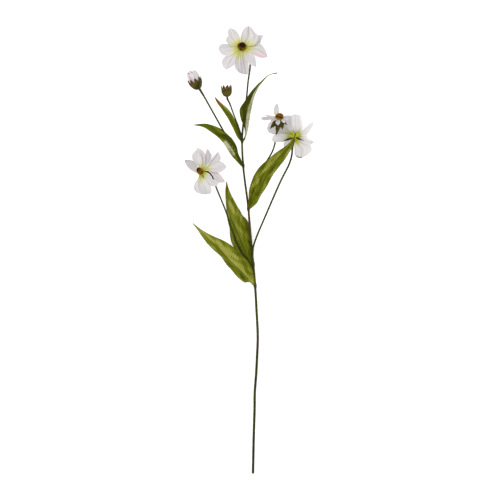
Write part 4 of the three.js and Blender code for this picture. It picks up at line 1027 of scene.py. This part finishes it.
def leaf_paint():
    """Mottled olive, with painted light on its ridges, painted shade in its hollows and along the midrib's
    crease, a red-brown margin, a brown tip and a pale back with painted shade in its hollows.
    """
    paint = Paint("leaf", 0.55, 0.06)
    along, across, under, tone, relief, brown, seed = paint.values(
        "along", "across", "under", "shade", "relief", "pink", "seed"
    )
    streaks = paint.streaks(across, along, 3.5, 5.0, paint.times(seed, 40.0), 4.0)
    grain = paint.grain(260.0, 3.0)
    wide = paint.math("ABSOLUTE", across)
    # The tone holds the leaf's own mottling, painted light and shade and the painted shadow beside the
    # stalks; the relief adds painted light on ridges and painted shade in hollows.
    light_and_mottle = paint.plus(paint.uneven(tone, streaks, 1.6), paint.times(relief, 0.9))
    dark = paint.tint((50, 55, 0), light_and_mottle, -0.7, 0.45, 1, (90, 97, 4))
    light = paint.tint(dark, light_and_mottle, 0.35, 1.6, 1, (142, 142, 62))
    grained = paint.tint(light, grain, 0.5, 0.72, 0.25, (44, 50, 2))
    # Painted shade in the crease along the midrib.
    ribbed = paint.tint(grained, wide, 0.09, 0.02, 0.65, (48, 52, 0))
    # The pale back, with painted shade in the hollows of its relief.
    pale = paint.tint((168, 168, 136), relief, 0.3, -0.5, 1, (118, 120, 84))
    backed = paint.mix(paint.times(under, 0.9), ribbed, pale)
    edged = paint.tint(backed, paint.uneven(wide, grain, 0.1), 0.9, 1.0, 0.75, (78, 46, 8))
    tipped = paint.mix(brown, edged, paint.tint((90, 56, 8), streaks, 0.4, 0.6, 1, (132, 98, 28)))
    return paint.finish(tipped, grain, distance=0.0003, strength=0.35)


def stem_paint():
    """Dark green with a purple-brown blush in places and fine lengthwise streaks."""
    paint = Paint("stem", 0.6, 0.08)
    pink, shade = paint.values("pink", "shade")
    grain = paint.grain(420.0, 3.0)
    green = paint.tint((34, 40, 4), paint.grain(30.0, 2.0), 0.35, 0.65, 1, (50, 56, 12))
    darker = paint.mix(paint.times(shade, 0.6), green, (20, 24, 2))
    blushed = paint.mix(pink, darker, (60, 42, 16))
    grained = paint.tint(blushed, grain, 0.5, 0.72, 0.2, (96, 98, 50))
    return paint.finish(grained, grain, distance=0.0002, strength=0.4)


def eye_paint():
    """Golden-brown florets, with painted shade towards their feet between them, and near black towards the
    middle where the eye is a dark one.
    """
    paint = Paint("eye", 0.7, 0.1)
    level, seed, shade = paint.values("across", "seed", "shade")
    gold = paint.tint((126, 76, 6), seed, 0.1, 0.9, 1, (184, 130, 24))
    # Painted shade towards each floret's foot, in the gaps between florets.
    shaded = paint.tint(gold, level, 0.95, 0.2, 1, (50, 24, 2))
    return paint.finish(paint.tint(shaded, paint.uneven(shade, seed, 0.4), 0.3, 0.75, 0.97, (8, 4, 1)))


def calyx_paint():
    """Dark olive or yellow-green, browner towards the tips."""
    paint = Paint("calyx", 0.6, 0.12)
    along, green = paint.values("along", "green")
    mottle = paint.grain(160.0, 4.0)
    olive = paint.tint((40, 38, 3), mottle, 0.35, 0.7, 1, (80, 70, 12))
    tipped = paint.tint(olive, paint.uneven(along, mottle, 0.3), 0.72, 1.0, 0.65, (78, 42, 14))
    young = paint.tint((160, 162, 24), mottle, 0.35, 0.7, 1, (192, 190, 50))
    return paint.finish(paint.mix(green, tipped, young), mottle, distance=0.0003, strength=0.4)


# Stage, lights and camera

FRAME_WIDTH = 785.0
LENS = 400.0
SENSOR = 36.0
SUBJECT_HEIGHT = 20.0
VIEW_CENTRE = (1.2, 0.5)
FLOOR_REACH = 4.0
LIGHT_TARGET = (0, 0.05, 0)


def add_area_light(name, place, size, power):
    data = bpy.data.lights.new(name, "AREA")
    data.shape = "DISK"
    data.size = size
    data.energy = power
    made = add_object(name, data)
    made.location = place
    direction = Vector(LIGHT_TARGET) - Vector(place)
    made.rotation_euler = direction.to_track_quat("-Z", "Y").to_euler()
    made.visible_camera = False


def add_floor():
    mesh = bpy.data.meshes.new("floor")
    corners = [(x * FLOOR_REACH, y * FLOOR_REACH, 0) for x, y in ((-1, -1), (1, -1), (1, 1), (-1, 1))]
    mesh.from_pydata(corners, [], [(0, 1, 2, 3)])
    paper = Paint("floor", 0.9, 0.5)
    fill(paper.shader, Base_Color=(0.92, 0.92, 0.92, 1), Emission_Color=(1, 1, 1, 1), Emission_Strength=0.3)
    mesh.materials.append(paper.material)
    add_object("floor", mesh)


def add_studio():
    world = bpy.data.worlds.new("studio")
    world.use_nodes = True
    fill(world.node_tree.nodes["Background"], Color=(1, 1, 1, 1), Strength=1.1)
    bpy.context.scene.world = world
    bpy.context.scene.view_settings.view_transform = "Standard"
    add_area_light("key", (-1.2, 1.1, 2.2), 2.2, 26)
    add_area_light("fill", (1.6, -0.6, 1.8), 1.8, 6)


def add_camera():
    data = bpy.data.cameras.new("camera")
    data.lens = LENS
    data.sensor_width = SENSOR
    camera = add_object("camera", data)
    camera.location = vec(*VIEW_CENTRE, SUBJECT_HEIGHT + FRAME_WIDTH * LENS / SENSOR) * MM
    bpy.context.scene.camera = camera


def build():
    random = np.random.default_rng(RANDOM_SEED)
    white = petal_paint()
    gold = eye_paint()
    olive = calyx_paint()
    green = leaf_paint()
    routes = stem_routes()
    stem_line = np.vstack([route.line[::4, :2] for route in routes.values()])
    piece("stem_and_stalks", stem_shape(routes, random), stem_paint(), "stem", "stem")
    for name, leaf in LEAVES.items():
        piece(f"{name}_leaf", leaf_shape(leaf, stem_line, random), green, "leaf", f"leaf_{name}")
    for name, bloom in BLOOMS.items():
        piece(f"{name}_petals", bloom_petals(bloom, random), white, "petal", f"bloom_{name}_petals")
        piece(f"{name}_eye", bloom_eye(bloom, random), gold, "disc", f"bloom_{name}_disc")
        piece(f"{name}_calyx", bloom_calyx(bloom, random), olive, "calyx", f"bloom_{name}_calyx")
    for name, bud in BUDS.items():
        piece(f"{name}_bud_petals", bud_crown(bud, random), white, "petal", f"bud_{name}_petals")
        piece(f"{name}_bud_cup", bud_cup(bud, random), olive, "calyx", f"bud_{name}_calyx")


add_camera()
add_floor()
add_studio()
build()
